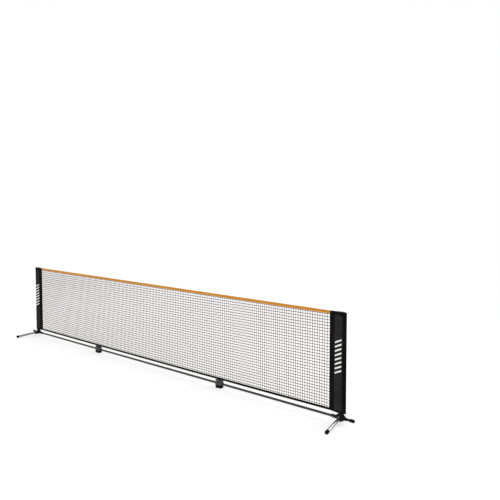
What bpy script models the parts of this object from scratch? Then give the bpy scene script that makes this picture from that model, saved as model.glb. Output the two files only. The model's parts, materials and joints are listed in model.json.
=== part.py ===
"""Free-standing portable court net: folding floor bar, end feet, telescopic posts and netting.

X runs along the net, -Y is the side that the front legs reach to, Z is up and the floor is Z = 0.
Every length is in metres.
"""

import math

import bmesh
import bpy
from mathutils import Vector

# ---- Driving dimensions ----
POST_SPAN = 4.80  # between the two post axes
BAR_HEIGHT = 0.042  # crossbar axis above the floor
HINGE_X = 0.21 * POST_SPAN  # hinge line of each folding knuckle, from the middle
HINGE_OFFSET = 0.030  # hinge pins stand this far from the bar's axis
NET_TOP = 0.914  # top edge of the headband at the lowest setting
SLEEVE_HEIGHT = 0.830
LIFT_MIDDLE = 0.430  # rise to the middle setting
LIFT_HIGH = 0.635  # rise to the top setting

# Tubes
BAR_RADIUS = 0.0110  # crossbar and outriggers
LEG_RADIUS = 0.0140
TUBE_WALL = 0.0012
LOWER_POST_RADIUS = 0.0140
UPPER_POST_RADIUS = 0.0110
POST_WALL = 0.0013
FIT_GAP = 0.0003  # between pieces that touch or slide
ROUND = 16  # sides of a tube
CUT_PAST = 0.010  # a cutter goes this far past the face that it opens
SMOOTH_ANGLE = math.radians(35.0)
WELD_DISTANCE = 0.00001

# Folding knuckles
KNUCKLE_HALF = 0.036
KNUCKLE_DEPTH = 0.046
KNUCKLE_TOP = 0.082
KNUCKLE_EDGE = 0.007
KNUCKLE_SOCKET_RADIUS = 0.0155
KNUCKLE_SOCKET_START = 0.026
KNUCKLE_SOCKET_REACH = 0.049
TUBE_SEAT = 0.014  # a bar's tube ends this far from the hinge line
BARREL_RADIUS = 0.0100
BARREL_SPLITS = (0.006, 0.028, 0.054, 0.076)
WEB_INSIDE = 0.012  # a barrel's web, from the hinge pin towards the knuckle
WEB_OUTSIDE = 0.001
WEB_NEAR = 0.003  # and along the net, from the hinge line
WEB_FAR = 0.024
PIN_RADIUS = 0.0040
PIN_HEAD_RADIUS = 0.0070
PIN_HEAD_HEIGHT = 0.0025
BUTTON_RADIUS = 0.0085
BUTTON_TRAVEL = 0.005
BUTTON_STAND = 0.006
BUTTON_DEPTH = 0.008
BUTTON_X = 0.018
BUTTON_ABOVE_TUBE = 0.0055
BUTTON_EDGE = 0.0015

# End hubs
HUB_HALF = 0.024
BAR_SEAT = 0.022  # the end bar's tube ends this far from the post axis
HUB_HALF_HEIGHT = 0.021
HUB_EDGE = 0.005
BAR_SOCKET_RADIUS = 0.0160
BAR_SOCKET_START = 0.011
BAR_SOCKET_REACH = 0.090
POST_SOCKET_RADIUS = 0.0178
POST_SOCKET_START = 0.007
POST_SOCKET_RISE = 0.062
OUTER_SOCKET_RADIUS = 0.0152
OUTER_SOCKET_START = 0.009
OUTER_SOCKET_REACH = 0.046
POST_SEAT = 0.032  # underside of the lower post, above the floor
GUSSET_THICKNESS = 0.008
GUSSET_INNER_REACH = 0.060
GUSSET_OUTER_REACH = 0.040
GUSSET_FOOT = 0.010  # above the bar's axis
GUSSET_PEAK = 0.050  # above the bar's axis
GUSSET_PEAK_HALF = 0.006
EAR_HALF_WIDTH = 0.013
EAR_THICKNESS = 0.0055
EAR_GAP = 0.0250
EAR_ROOT = 0.008  # the lugs start this deep inside the hub
EAR_STEPS = 8

# Outriggers
OUTRIGGER_START = 0.022
OUTRIGGER_END = 0.108
OUTRIGGER_CAP_END = 0.122
OUTRIGGER_CAP_START = 0.084
OUTRIGGER_CAP_RADIUS = 0.0138
OUTRIGGER_CAP_EDGE = 0.004

# Front legs
LEG_PIVOT_OFFSET = 0.040
LEG_SPLAY = math.radians(11.0)
LEG_LENGTH = 0.250
LEG_CAP_RADIUS = 0.0160
LEG_CAP_LENGTH = 0.026
LEG_CAP_END = 0.003
LEG_EYE_HEIGHT = 0.0236
LEG_EYE_RADIUS = 0.0120
LEG_NECK_RADIUS = 0.0100
LEG_FLANGE_START = 0.0160
LEG_FLANGE_END = 0.0185
LEG_PLUG_END = 0.042
BOLT_HEAD_RADIUS = 0.0078
BOLT_HEAD_HEIGHT = 0.0042
BOLT_NUT_RADIUS = 0.0075
BOLT_NUT_HEIGHT = 0.0040
LEG_SLOPE = math.asin((BAR_HEIGHT - LEG_CAP_RADIUS) / LEG_LENGTH)

# Telescopic posts
LOWER_POST_TOP = 0.860
UPPER_POST_BOTTOM = 0.104
UPPER_POST_TOP = 0.902
COLLAR_RADIUS = 0.0170
COLLAR_BOTTOM = 0.842
COLLAR_TOP = 0.872
COLLAR_EDGE = 0.002
PLUG_RADIUS = 0.0125
PLUG_DEPTH = 0.015
PLUG_RIM = 0.003
PLUG_DOME = 0.0065
GUIDE_RADIUS = LOWER_POST_RADIUS - POST_WALL - FIT_GAP
GUIDE_BOTTOM = 0.100
GUIDE_TOP = 0.122
SNAP_HEIGHT = 0.145
SNAP_RADIUS = 0.0034
SNAP_REACH = 0.0178
SNAP_SPRING_HALF = 0.0078
SNAP_SPRING_WIDTH = 0.007
SNAP_SPRING_THICKNESS = 0.0009
SNAP_SPRING_TOP = 0.008  # above the button's axis
SNAP_BEND = 0.018  # the hairpin's bend starts this far below the button's axis
SNAP_STRAIGHT = 0.004
SNAP_STEPS = 8
SNAP_SIDES = 12

# Fabric
SLEEVE_OUT = 0.043  # sleeve's outer edge beyond the post axis
SLEEVE_IN = 0.117  # sleeve's inner edge inside the post axis
POCKET_OUT = 0.035  # where the pocket inside it closes, on both sides of the post
POCKET_IN = 0.097
SLEEVE_BULGE = 0.0222
TEARDROP_STEPS = 5
SLEEVE_WALL = 0.0017
SLEEVE_EDGE = 0.0022
SLEEVE_TOP_WALL = 0.0020
SLEEVE_BOTTOM = NET_TOP - SLEEVE_HEIGHT
NET_THICKNESS = 0.0012
TAPE_HEIGHT = 0.025
HEM_HEIGHT = 0.014
BAND_WALL = 0.0009
BAND_SLACK = 0.0004
PANEL_GAP = 0.0010

# The reach of a front leg decides where the net line stands, so that the origin is under the middle.
LEG_CAP_SHOULDER = LEG_LENGTH - LEG_CAP_END


def leg_reach():
    """How far a leg's cap comes in front of the net line."""
    along = math.cos(LEG_SPLAY) * math.cos(LEG_SLOPE)
    across = math.sqrt(1.0 - along * along)
    rim = LEG_CAP_SHOULDER * along + LEG_CAP_RADIUS * across
    face = LEG_LENGTH * along + (LEG_CAP_RADIUS - LEG_CAP_END) * across
    return LEG_PIVOT_OFFSET + max(rim, face)


REAR_REACH = HINGE_OFFSET + BARREL_RADIUS
NET_Y = (leg_reach() - REAR_REACH) / 2.0

SIDES = (("left", -1), ("right", 1))


# ---- Materials ----
def principled(name, colour, roughness, metallic=0.0):
    material = bpy.data.materials.new(name)
    material.use_nodes = True
    shader = material.node_tree.nodes["Principled BSDF"]
    shader.inputs["Base Color"].default_value = (*colour, 1.0)
    shader.inputs["Roughness"].default_value = roughness
    shader.inputs["Metallic"].default_value = metallic
    return material


def make_materials():
    return {
        "silver_tube": principled("silver_tube", (0.62, 0.63, 0.64), 0.35, 0.9),
        "grey_tube": principled("grey_tube", (0.10, 0.10, 0.11), 0.40, 0.6),
        "black_plastic": principled("black_plastic", (0.015, 0.015, 0.016), 0.50),
        "black_rubber": principled("black_rubber", (0.012, 0.012, 0.012), 0.80),
        "steel": principled("steel", (0.55, 0.55, 0.56), 0.30, 1.0),
        "black_fabric": principled("black_fabric", (0.018, 0.018, 0.020), 0.85),
        "orange_tape": principled("orange_tape", (0.90, 0.36, 0.03), 0.75),
        "netting": principled("netting", (0.03, 0.02, 0.02), 0.80),
    }


# ---- Scene helpers ----
def remove_everything():
    for item in list(bpy.data.objects):
        bpy.data.objects.remove(item, do_unlink=True)


def anchor(name, at, parent=None):
    """An empty on a joint's axis or at a reference point."""
    empty = bpy.data.objects.new(name, None)
    bpy.context.scene.collection.objects.link(empty)
    empty["world"] = list(at)
    settle(empty, at, parent)
    return empty


def settle(item, at, parent):
    """Parents item and puts its origin at a point of the part's frame."""
    item.parent = parent
    start = Vector(parent["world"]) if parent else Vector((0.0, 0.0, 0.0))
    item.location = Vector(at) - start


def make_mesh(shape, origin, name):
    """A mesh of a shape's points and faces, measured from origin, with every face pointing out."""
    points, faces = shape
    bm = bmesh.new()
    corners = [bm.verts.new([a - b for a, b in zip(point, origin)]) for point in points]
    for face in faces:
        bm.faces.new([corners[index] for index in face])
    bmesh.ops.recalc_face_normals(bm, faces=bm.faces)
    mesh = bpy.data.meshes.new(name)
    bm.to_mesh(mesh)
    bm.free()
    mesh.shade_smooth()
    mesh.set_sharp_from_angle(angle=SMOOTH_ANGLE)
    return mesh


def piece(name, shape, material, at, parent):
    """A sub-part with its own material, its origin at a point of the part's frame."""
    mesh = make_mesh(shape, at, name)
    mesh.materials.append(material)
    item = bpy.data.objects.new(name, mesh)
    bpy.context.scene.collection.objects.link(item)
    item["world"] = list(at)
    settle(item, at, parent)
    return item


def tool(name, shape, at):
    """A shape that only cuts or adds to another."""
    item = bpy.data.objects.new(name, make_mesh(shape, at, name))
    bpy.context.scene.collection.objects.link(item)
    item.location = at
    item.hide_render = True
    item.display_type = "WIRE"
    return item


def combine(item, shapes, operation):
    """Adds shapes to an item or cuts them from it."""
    for number, shape in enumerate(shapes, 1):
        label = f"{item.name}_{operation.lower()}_{number}"
        modifier = item.modifiers.new(label, "BOOLEAN")
        modifier.operation = operation
        modifier.solver = "EXACT"
        modifier.object = tool(label, shape, item["world"])


def weld(item):
    """Joins the doubled points that a cut can leave along a seam."""
    modifier = item.modifiers.new("weld", "WELD")
    modifier.merge_threshold = WELD_DISTANCE


def soften(item, width, segments=2):
    """Rounds the edges of a moulding before anything is cut from it."""
    modifier = item.modifiers.new("rounded_edges", "BEVEL")
    modifier.width = width
    modifier.segments = segments
    modifier.limit_method = "ANGLE"
    modifier.angle_limit = math.radians(50.0)


# ---- Shape makers: lists of points and of faces, in the part's frame ----
def box(low, high):
    outline = [(low[0], low[1]), (high[0], low[1]), (high[0], high[1]), (low[0], high[1])]
    return plate(outline, low[2], high[2], "Z")


def turned(profile, start, direction, sides=ROUND):
    """Turns a profile of (radius, distance) points about a line; a radius of 0 closes an end."""
    start = Vector(start)
    axis = Vector(direction).normalized()
    turn = Vector((0.0, 0.0, 1.0)).rotation_difference(axis).to_matrix()
    across = turn @ Vector((1.0, 0.0, 0.0))
    upright = turn @ Vector((0.0, 1.0, 0.0))
    points = []
    rings = []
    for radius, distance in profile:
        count = sides if radius > 0.0 else 1
        ring = []
        for step in range(count):
            angle = math.tau * (step + 0.5) / sides
            a, b = radius * math.cos(angle), radius * math.sin(angle)
            ring.append(len(points))
            middle = [start[i] + axis[i] * distance for i in range(3)]
            points.append([middle[i] + across[i] * a + upright[i] * b for i in range(3)])
        rings.append(ring)
    pairs = list(zip(rings, rings[1:]))
    if profile[0][0] > 0.0:
        pairs.append((rings[-1], rings[0]))
    faces = []
    for lower, upper in pairs:
        for step in range(sides):
            after = (step + 1) % sides
            corners = [lower[step % len(lower)], lower[after % len(lower)]]
            corners += [upper[after % len(upper)], upper[step % len(upper)]]
            unique = list(dict.fromkeys(corners))
            if len(unique) > 2:
                faces.append(unique)
    return points, faces


def rod(radius, start, end, sides=ROUND):
    length = (Vector(end) - Vector(start)).length
    direction = Vector(end) - Vector(start)
    return turned([(0.0, 0.0), (radius, 0.0), (radius, length), (0.0, length)], start, direction, sides)


def tube(radius, wall, start, end, sides=ROUND):
    length = (Vector(end) - Vector(start)).length
    inner = radius - wall
    profile = [(radius, 0.0), (radius, length), (inner, length), (inner, 0.0)]
    return turned(profile, start, Vector(end) - Vector(start), sides)


def cap_over_tube(radius, bore, length, depth, edge, start, direction):
    """A cup that slips over a tube's end, its mouth at start."""
    profile = [
        (0.0, depth),
        (bore, depth),
        (bore, 0.0),
        (radius, 0.0),
        (radius, length - edge),
        (radius - edge * 0.35, length - edge * 0.4),
        (radius - edge, length),
        (0.0, length),
    ]
    return turned(profile, start, direction)


def plate(outline, low, high, axis):
    """Extrudes an outline of (a, b) points along one axis, from low to high."""
    first, second, third = {"X": (1, 2, 0), "Y": (0, 2, 1), "Z": (0, 1, 2)}[axis]
    points = []
    for level in (low, high):
        for a, b in outline:
            point = [0.0, 0.0, 0.0]
            point[first], point[second], point[third] = a, b, level
            points.append(point)
    count = len(outline)
    faces = [list(range(count)), list(range(count, 2 * count))]
    for step in range(count):
        after = (step + 1) % count
        faces.append([step, after, count + after, count + step])
    return points, faces


def at_net(x, across, z):
    """A point given from the net line instead of from the origin."""
    return Vector((x, NET_Y + across, z))


# ---- Crossbar and knuckles ----
def knuckle_half(name, side, inner, rear, material, parent):
    """One half of a folding knuckle with its tube socket and its share of the hinge barrels.

    side is the end of the net it belongs to, inner the half fixed to the middle bar, and rear is 1
    where the hinge stands behind the bar and -1 where it stands in front.
    """
    hinge = side * HINGE_X
    reach = -side if inner else side
    near = hinge + reach * FIT_GAP
    far = hinge + reach * KNUCKLE_HALF
    half_depth = KNUCKLE_DEPTH / 2.0
    low = (min(near, far), NET_Y - half_depth, 0.0)
    high = (max(near, far), NET_Y + half_depth, KNUCKLE_TOP)
    origin = at_net(hinge, rear * HINGE_OFFSET, BAR_HEIGHT)
    item = piece(name, box(low, high), material, origin, parent)
    soften(item, KNUCKLE_EDGE)
    socket_start = at_net(hinge + reach * KNUCKLE_SOCKET_START, 0.0, BAR_HEIGHT)
    socket_end = at_net(hinge + reach * KNUCKLE_SOCKET_REACH, 0.0, BAR_HEIGHT)
    barrel_across = rear * HINGE_OFFSET
    bands = list(zip(BARREL_SPLITS, BARREL_SPLITS[1:]))
    mine = [bands[0], bands[2]] if inner else [bands[1]]
    others = [bands[1]] if inner else [bands[0], bands[2]]
    shapes = [rod(KNUCKLE_SOCKET_RADIUS, socket_start, socket_end)]
    for low_z, high_z in mine:
        start = at_net(hinge, barrel_across, low_z + FIT_GAP)
        end = at_net(hinge, barrel_across, high_z - FIT_GAP)
        shapes.append(rod(BARREL_RADIUS, start, end))
        shapes.append(barrel_web(hinge, reach, barrel_across, rear, low_z, high_z))
    combine(item, shapes, "UNION")
    cuts = []
    for low_z, high_z in others:
        start = at_net(hinge, barrel_across, low_z - FIT_GAP)
        end = at_net(hinge, barrel_across, high_z + FIT_GAP)
        cuts.append(rod(BARREL_RADIUS + 3.0 * FIT_GAP, start, end))
    below = at_net(hinge, barrel_across, -CUT_PAST)
    above = at_net(hinge, barrel_across, KNUCKLE_TOP + CUT_PAST)
    cuts.append(rod(PIN_RADIUS + FIT_GAP, below, above))
    seat = at_net(hinge + reach * (TUBE_SEAT - FIT_GAP), 0.0, BAR_HEIGHT)
    mouth = at_net(hinge + reach * (KNUCKLE_SOCKET_REACH + CUT_PAST), 0.0, BAR_HEIGHT)
    cuts.append(rod(BAR_RADIUS + FIT_GAP, seat, mouth))
    if inner:
        face = -rear * half_depth
        pocket = at_net(hinge + reach * BUTTON_X, face + rear * BUTTON_DEPTH, button_height())
        out = at_net(hinge + reach * BUTTON_X, face - rear * CUT_PAST, button_height())
        cuts.append(rod(BUTTON_RADIUS + FIT_GAP, pocket, out))
    combine(item, cuts, "DIFFERENCE")
    weld(item)
    return item


def barrel_web(hinge, reach, barrel_across, rear, low_z, high_z):
    """The web that ties a hinge barrel back to its own half of the knuckle."""
    inside = barrel_across - rear * WEB_INSIDE
    outside = barrel_across + rear * WEB_OUTSIDE
    near = hinge + reach * WEB_NEAR
    far = hinge + reach * WEB_FAR
    low = (min(near, far), NET_Y + min(inside, outside), low_z + 3.0 * FIT_GAP)
    high = (max(near, far), NET_Y + max(inside, outside), high_z - 3.0 * FIT_GAP)
    return box(low, high)


def button_height():
    return BAR_HEIGHT + BAR_RADIUS + BUTTON_RADIUS + BUTTON_ABOVE_TUBE


def hinge_pin(name, side, rear, material, parent):
    """A pin with a flat head at each end of the barrels."""
    low = BARREL_SPLITS[0] - FIT_GAP
    high = BARREL_SPLITS[-1] + FIT_GAP
    profile = [
        (0.0, low - PIN_HEAD_HEIGHT),
        (PIN_HEAD_RADIUS, low - PIN_HEAD_HEIGHT),
        (PIN_HEAD_RADIUS, low),
        (PIN_RADIUS, low),
        (PIN_RADIUS, high),
        (PIN_HEAD_RADIUS, high),
        (PIN_HEAD_RADIUS, high + PIN_HEAD_HEIGHT),
        (0.0, high + PIN_HEAD_HEIGHT),
    ]
    foot = at_net(side * HINGE_X, rear * HINGE_OFFSET, 0.0)
    return piece(name, turned(profile, foot, (0.0, 0.0, 1.0)), material, foot, parent)


def release_button(name, side, rear, material, parent):
    """A round push button in the face opposite the hinge."""
    face = -rear * KNUCKLE_DEPTH / 2.0
    x = side * HINGE_X - side * BUTTON_X
    origin = at_net(x, face, button_height())
    depth = BUTTON_DEPTH - BUTTON_TRAVEL - FIT_GAP
    profile = [
        (0.0, -depth),
        (BUTTON_RADIUS, -depth),
        (BUTTON_RADIUS, BUTTON_STAND - BUTTON_EDGE),
        (BUTTON_RADIUS - BUTTON_EDGE, BUTTON_STAND),
        (0.0, BUTTON_STAND),
    ]
    shape = turned(profile, origin, (0.0, -rear, 0.0))
    return piece(name, shape, material, origin, parent)


# ---- End feet ----
def hub(side, name, material, parent):
    """The corner moulding that joins crossbar, post, outrigger and front leg."""
    x = side * POST_SPAN / 2.0
    low = (x - HUB_HALF, NET_Y - HUB_HALF, BAR_HEIGHT - HUB_HALF_HEIGHT)
    high = (x + HUB_HALF, NET_Y + HUB_HALF, BAR_HEIGHT + HUB_HALF_HEIGHT)
    centre = at_net(x, 0.0, BAR_HEIGHT)
    item = piece(name, box(low, high), material, centre, parent)
    soften(item, HUB_EDGE)
    outward = Vector((side, 0.0, 0.0))
    upward = Vector((0.0, 0.0, 1.0))
    shapes = [
        socket(BAR_SOCKET_RADIUS, centre, -outward, BAR_SOCKET_START, BAR_SOCKET_REACH),
        socket(OUTER_SOCKET_RADIUS, centre, outward, OUTER_SOCKET_START, OUTER_SOCKET_REACH),
        socket(POST_SOCKET_RADIUS, centre, upward, POST_SOCKET_START, POST_SOCKET_RISE),
        gusset(side, x),
    ]
    for sign in (1, -1):
        inner_z = BAR_HEIGHT + sign * EAR_GAP / 2.0
        outer_z = inner_z + sign * EAR_THICKNESS
        shapes.append(ear(x, min(inner_z, outer_z), max(inner_z, outer_z)))
    combine(item, shapes, "UNION")
    pivot = leg_pivot(side)
    above = upward * (POST_SOCKET_RISE + CUT_PAST)
    outrigger_seat = outrigger_point(side, OUTRIGGER_START - FIT_GAP)
    outrigger_mouth = outrigger_point(side, OUTER_SOCKET_REACH + CUT_PAST)
    cuts = [
        rod(LOWER_POST_RADIUS + FIT_GAP, at_net(x, 0.0, POST_SEAT - FIT_GAP), centre + above),
        bar_bore(x, side),
        rod(BAR_RADIUS + FIT_GAP, outrigger_seat, outrigger_mouth),
        rod(PIN_RADIUS + FIT_GAP, pivot - above, pivot + above),
    ]
    combine(item, cuts, "DIFFERENCE")
    return item


def socket(radius, centre, direction, start, end):
    return rod(radius, centre + direction * start, centre + direction * end)


def bar_bore(x, side):
    start = at_net(x - side * (BAR_SEAT - FIT_GAP), 0.0, BAR_HEIGHT)
    end = at_net(x - side * (BAR_SOCKET_REACH + CUT_PAST), 0.0, BAR_HEIGHT)
    return rod(BAR_RADIUS + FIT_GAP, start, end)


def gusset(side, x):
    """Triangular ribs that brace the post socket on both sides."""
    half = GUSSET_THICKNESS / 2.0
    peak = BAR_HEIGHT + GUSSET_PEAK
    foot = BAR_HEIGHT + GUSSET_FOOT
    outline = [
        (x - side * GUSSET_INNER_REACH, foot),
        (x + side * GUSSET_OUTER_REACH, foot),
        (x + side * GUSSET_PEAK_HALF, peak),
        (x - side * GUSSET_PEAK_HALF, peak),
    ]
    return plate(outline, NET_Y - half, NET_Y + half, "Y")


def ear(x, low_z, high_z):
    """One of the two lugs that hold a front leg's pivot, rounded about the pivot."""
    centre_y = NET_Y - LEG_PIVOT_OFFSET
    root_y = NET_Y - HUB_HALF + EAR_ROOT
    outline = [(x + EAR_HALF_WIDTH, root_y), (x - EAR_HALF_WIDTH, root_y)]
    for step in range(EAR_STEPS + 1):
        angle = math.pi + math.pi * step / EAR_STEPS
        outline.append((x + EAR_HALF_WIDTH * math.cos(angle), centre_y + EAR_HALF_WIDTH * math.sin(angle)))
    return plate(outline, low_z, high_z, "Z")


def outrigger_point(side, reach):
    return at_net(side * (POST_SPAN / 2.0 + reach), 0.0, BAR_HEIGHT)


def outrigger(side, name, material, parent):
    start = outrigger_point(side, OUTRIGGER_START)
    end = outrigger_point(side, OUTRIGGER_END)
    return piece(name, tube(BAR_RADIUS, TUBE_WALL, start, end), material, start, parent)


def outrigger_cap(side, name, material, parent):
    start = outrigger_point(side, OUTRIGGER_CAP_START)
    length = OUTRIGGER_CAP_END - OUTRIGGER_CAP_START
    depth = OUTRIGGER_END + FIT_GAP - OUTRIGGER_CAP_START
    outward = (side, 0.0, 0.0)
    bore = BAR_RADIUS + FIT_GAP
    shape = cap_over_tube(OUTRIGGER_CAP_RADIUS, bore, length, depth, OUTRIGGER_CAP_EDGE, start, outward)
    return piece(name, shape, material, start, parent)


# ---- Front legs ----
def leg_pivot(side):
    return at_net(side * POST_SPAN / 2.0, -LEG_PIVOT_OFFSET, BAR_HEIGHT)


def leg_direction(side):
    flat = math.cos(LEG_SLOPE)
    return Vector((side * math.sin(LEG_SPLAY) * flat, -math.cos(LEG_SPLAY) * flat, -math.sin(LEG_SLOPE)))


def leg_root(side, name, material, parent):
    """The leg's moulded root: an upright eye between the hub's lugs, and a plug inside the tube."""
    pivot = leg_pivot(side)
    along = leg_direction(side)
    half = Vector((0.0, 0.0, LEG_EYE_HEIGHT / 2.0))
    item = piece(name, rod(LEG_EYE_RADIUS, pivot - half, pivot + half), material, pivot, parent)
    plug_radius = LEG_RADIUS - TUBE_WALL - FIT_GAP
    profile = [
        (0.0, 0.0),
        (LEG_NECK_RADIUS, 0.0),
        (LEG_NECK_RADIUS, LEG_FLANGE_START),
        (LEG_RADIUS, LEG_FLANGE_START),
        (LEG_RADIUS, LEG_FLANGE_END),
        (plug_radius, LEG_FLANGE_END),
        (plug_radius, LEG_PLUG_END),
        (0.0, LEG_PLUG_END),
    ]
    combine(item, [turned(profile, pivot, along)], "UNION")
    combine(item, [rod(PIN_RADIUS + FIT_GAP, pivot - 2.0 * half, pivot + 2.0 * half)], "DIFFERENCE")
    return item


def leg_tube(side, name, material, parent):
    pivot = leg_pivot(side)
    along = leg_direction(side)
    start = LEG_FLANGE_END + FIT_GAP
    end = LEG_LENGTH - LEG_CAP_END - FIT_GAP
    shape = tube(LEG_RADIUS, TUBE_WALL, pivot + along * start, pivot + along * end)
    return piece(name, shape, material, pivot, parent)


def leg_cap(side, name, material, parent):
    pivot = leg_pivot(side)
    along = leg_direction(side)
    start = pivot + along * (LEG_LENGTH - LEG_CAP_LENGTH)
    depth = LEG_CAP_LENGTH - LEG_CAP_END
    bore = LEG_RADIUS + FIT_GAP
    shape = cap_over_tube(LEG_CAP_RADIUS, bore, LEG_CAP_LENGTH, depth, LEG_CAP_END, start, along)
    return piece(name, shape, material, pivot, parent)


def pivot_bolt(side, name, material, parent):
    """The upright bolt through the lugs and the leg's eye, with a round head and a nut below."""
    reach = EAR_GAP / 2.0 + EAR_THICKNESS + FIT_GAP
    top = reach + BOLT_HEAD_HEIGHT
    profile = [
        (0.0, -reach - BOLT_NUT_HEIGHT),
        (BOLT_NUT_RADIUS, -reach - BOLT_NUT_HEIGHT),
        (BOLT_NUT_RADIUS, -reach),
        (PIN_RADIUS, -reach),
        (PIN_RADIUS, reach),
        (BOLT_HEAD_RADIUS, reach),
        (BOLT_HEAD_RADIUS * 0.9, reach + BOLT_HEAD_HEIGHT * 0.7),
        (BOLT_HEAD_RADIUS * 0.5, top),
        (0.0, top),
    ]
    pivot = leg_pivot(side)
    return piece(name, turned(profile, pivot, (0.0, 0.0, 1.0)), material, pivot, parent)


# ---- Telescopic posts ----
def post_point(side, z):
    return at_net(side * POST_SPAN / 2.0, 0.0, z)


def snap_hole(side, z, radius):
    """A cutter for one snap-button hole in the outward wall of a post of that radius."""
    x = side * POST_SPAN / 2.0
    start = at_net(x + side * radius / 2.0, 0.0, z)
    end = at_net(x + side * (radius + CUT_PAST), 0.0, z)
    return rod(SNAP_RADIUS + FIT_GAP, start, end, SNAP_SIDES)


def on_post(name, side, profile, material, parent):
    """A piece turned about the post's axis; the profile's distances are heights above the floor."""
    foot = post_point(side, 0.0)
    middle = post_point(side, profile[0][1])
    return piece(name, turned(profile, foot, (0.0, 0.0, 1.0)), material, middle, parent)


def lower_post(side, name, material, parent):
    start = post_point(side, POST_SEAT)
    shape = tube(LOWER_POST_RADIUS, POST_WALL, start, post_point(side, LOWER_POST_TOP))
    item = piece(name, shape, material, start, parent)
    rises = (0.0, LIFT_MIDDLE, LIFT_HIGH)
    combine(item, [snap_hole(side, SNAP_HEIGHT + rise, LOWER_POST_RADIUS) for rise in rises], "DIFFERENCE")
    return item


def post_collar(side, name, material, parent):
    """A moulded collar over the lower post's mouth that guides the upper post."""
    bore = UPPER_POST_RADIUS + FIT_GAP
    over = LOWER_POST_RADIUS + FIT_GAP
    step = LOWER_POST_TOP + FIT_GAP
    profile = [
        (over, COLLAR_BOTTOM),
        (COLLAR_RADIUS, COLLAR_BOTTOM),
        (COLLAR_RADIUS, COLLAR_TOP - COLLAR_EDGE),
        (COLLAR_RADIUS - COLLAR_EDGE, COLLAR_TOP),
        (bore, COLLAR_TOP),
        (bore, step),
        (over, step),
    ]
    return on_post(name, side, profile, material, parent)


def upper_post(side, name, material, parent):
    start = post_point(side, UPPER_POST_BOTTOM)
    end = post_point(side, UPPER_POST_TOP)
    item = piece(name, tube(UPPER_POST_RADIUS, POST_WALL, start, end), material, start, parent)
    combine(item, [snap_hole(side, SNAP_HEIGHT, UPPER_POST_RADIUS)], "DIFFERENCE")
    return item


def post_guide(side, name, material, parent):
    """A plastic foot on the upper post that keeps it central in the lower one."""
    over = UPPER_POST_RADIUS + FIT_GAP
    ledge = UPPER_POST_BOTTOM - FIT_GAP
    inner = UPPER_POST_RADIUS - POST_WALL
    profile = [
        (inner, GUIDE_BOTTOM),
        (GUIDE_RADIUS, GUIDE_BOTTOM),
        (GUIDE_RADIUS, GUIDE_TOP),
        (over, GUIDE_TOP),
        (over, ledge),
        (inner, ledge),
    ]
    return on_post(name, side, profile, material, parent)


def post_plug(side, name, material, parent):
    """A plug in the upper post's top with a rounded head."""
    stem = UPPER_POST_RADIUS - POST_WALL - FIT_GAP
    low = UPPER_POST_TOP - PLUG_DEPTH
    seat = UPPER_POST_TOP + FIT_GAP
    profile = [
        (0.0, low),
        (stem, low),
        (stem, seat),
        (PLUG_RADIUS, seat),
        (PLUG_RADIUS, seat + PLUG_RIM),
        (PLUG_RADIUS * 0.7, seat + PLUG_DOME * 0.9),
        (0.0, seat + PLUG_DOME),
    ]
    return on_post(name, side, profile, material, parent)


def snap_clip(side, name, material, parent):
    """A hairpin of spring strip inside the upper post, with the button on its outward arm."""
    x = side * POST_SPAN / 2.0
    half = SNAP_SPRING_HALF
    thick = SNAP_SPRING_THICKNESS
    top = SNAP_HEIGHT + SNAP_SPRING_TOP
    bend = SNAP_HEIGHT - SNAP_BEND
    turn = half * 0.8
    centreline = [(half, top), (half, SNAP_HEIGHT - SNAP_STRAIGHT)]
    for step in range(SNAP_STEPS + 1):
        angle = -math.pi * step / SNAP_STEPS
        centreline.append((turn * math.cos(angle), bend + turn * math.sin(angle)))
    centreline.append((-half, top - SNAP_STRAIGHT))
    outline = offset_strip(centreline, thick)
    outline = [(x + side * a, b) for a, b in outline]
    width = SNAP_SPRING_WIDTH / 2.0
    origin = post_point(side, SNAP_HEIGHT)
    item = piece(name, plate(outline, NET_Y - width, NET_Y + width, "Y"), material, origin, parent)
    start = at_net(x + side * half, 0.0, SNAP_HEIGHT)
    end = at_net(x + side * SNAP_REACH, 0.0, SNAP_HEIGHT)
    combine(item, [rod(SNAP_RADIUS, start, end, SNAP_SIDES)], "UNION")
    return item


def offset_strip(points, thickness):
    """The outline of a strip of even thickness about a centre line."""
    left = []
    right = []
    for index, (a, b) in enumerate(points):
        before = points[max(index - 1, 0)]
        after = points[min(index + 1, len(points) - 1)]
        along = Vector((after[0] - before[0], after[1] - before[1])).normalized()
        shift = Vector((-along.y, along.x)) * thickness / 2.0
        left.append((a + shift.x, b + shift.y))
        right.append((a - shift.x, b - shift.y))
    return left + right[::-1]


# ---- Fabric ----
def teardrop(radius, out, inside, edge):
    """Half an outline that wraps a post of the given radius and thins to an edge on both sides."""
    points = []
    for reach in (out, -inside):
        distance = math.hypot(reach, edge)
        bearing = math.atan2(edge, reach)
        open_angle = math.acos(radius / distance)
        touch = bearing + open_angle if reach > 0.0 else bearing - open_angle
        points.append(((reach, edge), touch))
    (first, start), (last, stop) = points
    outline = [first]
    for step in range(TEARDROP_STEPS + 1):
        angle = start + (stop - start) * step / TEARDROP_STEPS
        outline.append((radius * math.cos(angle), radius * math.sin(angle)))
    outline.append(last)
    return outline


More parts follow.
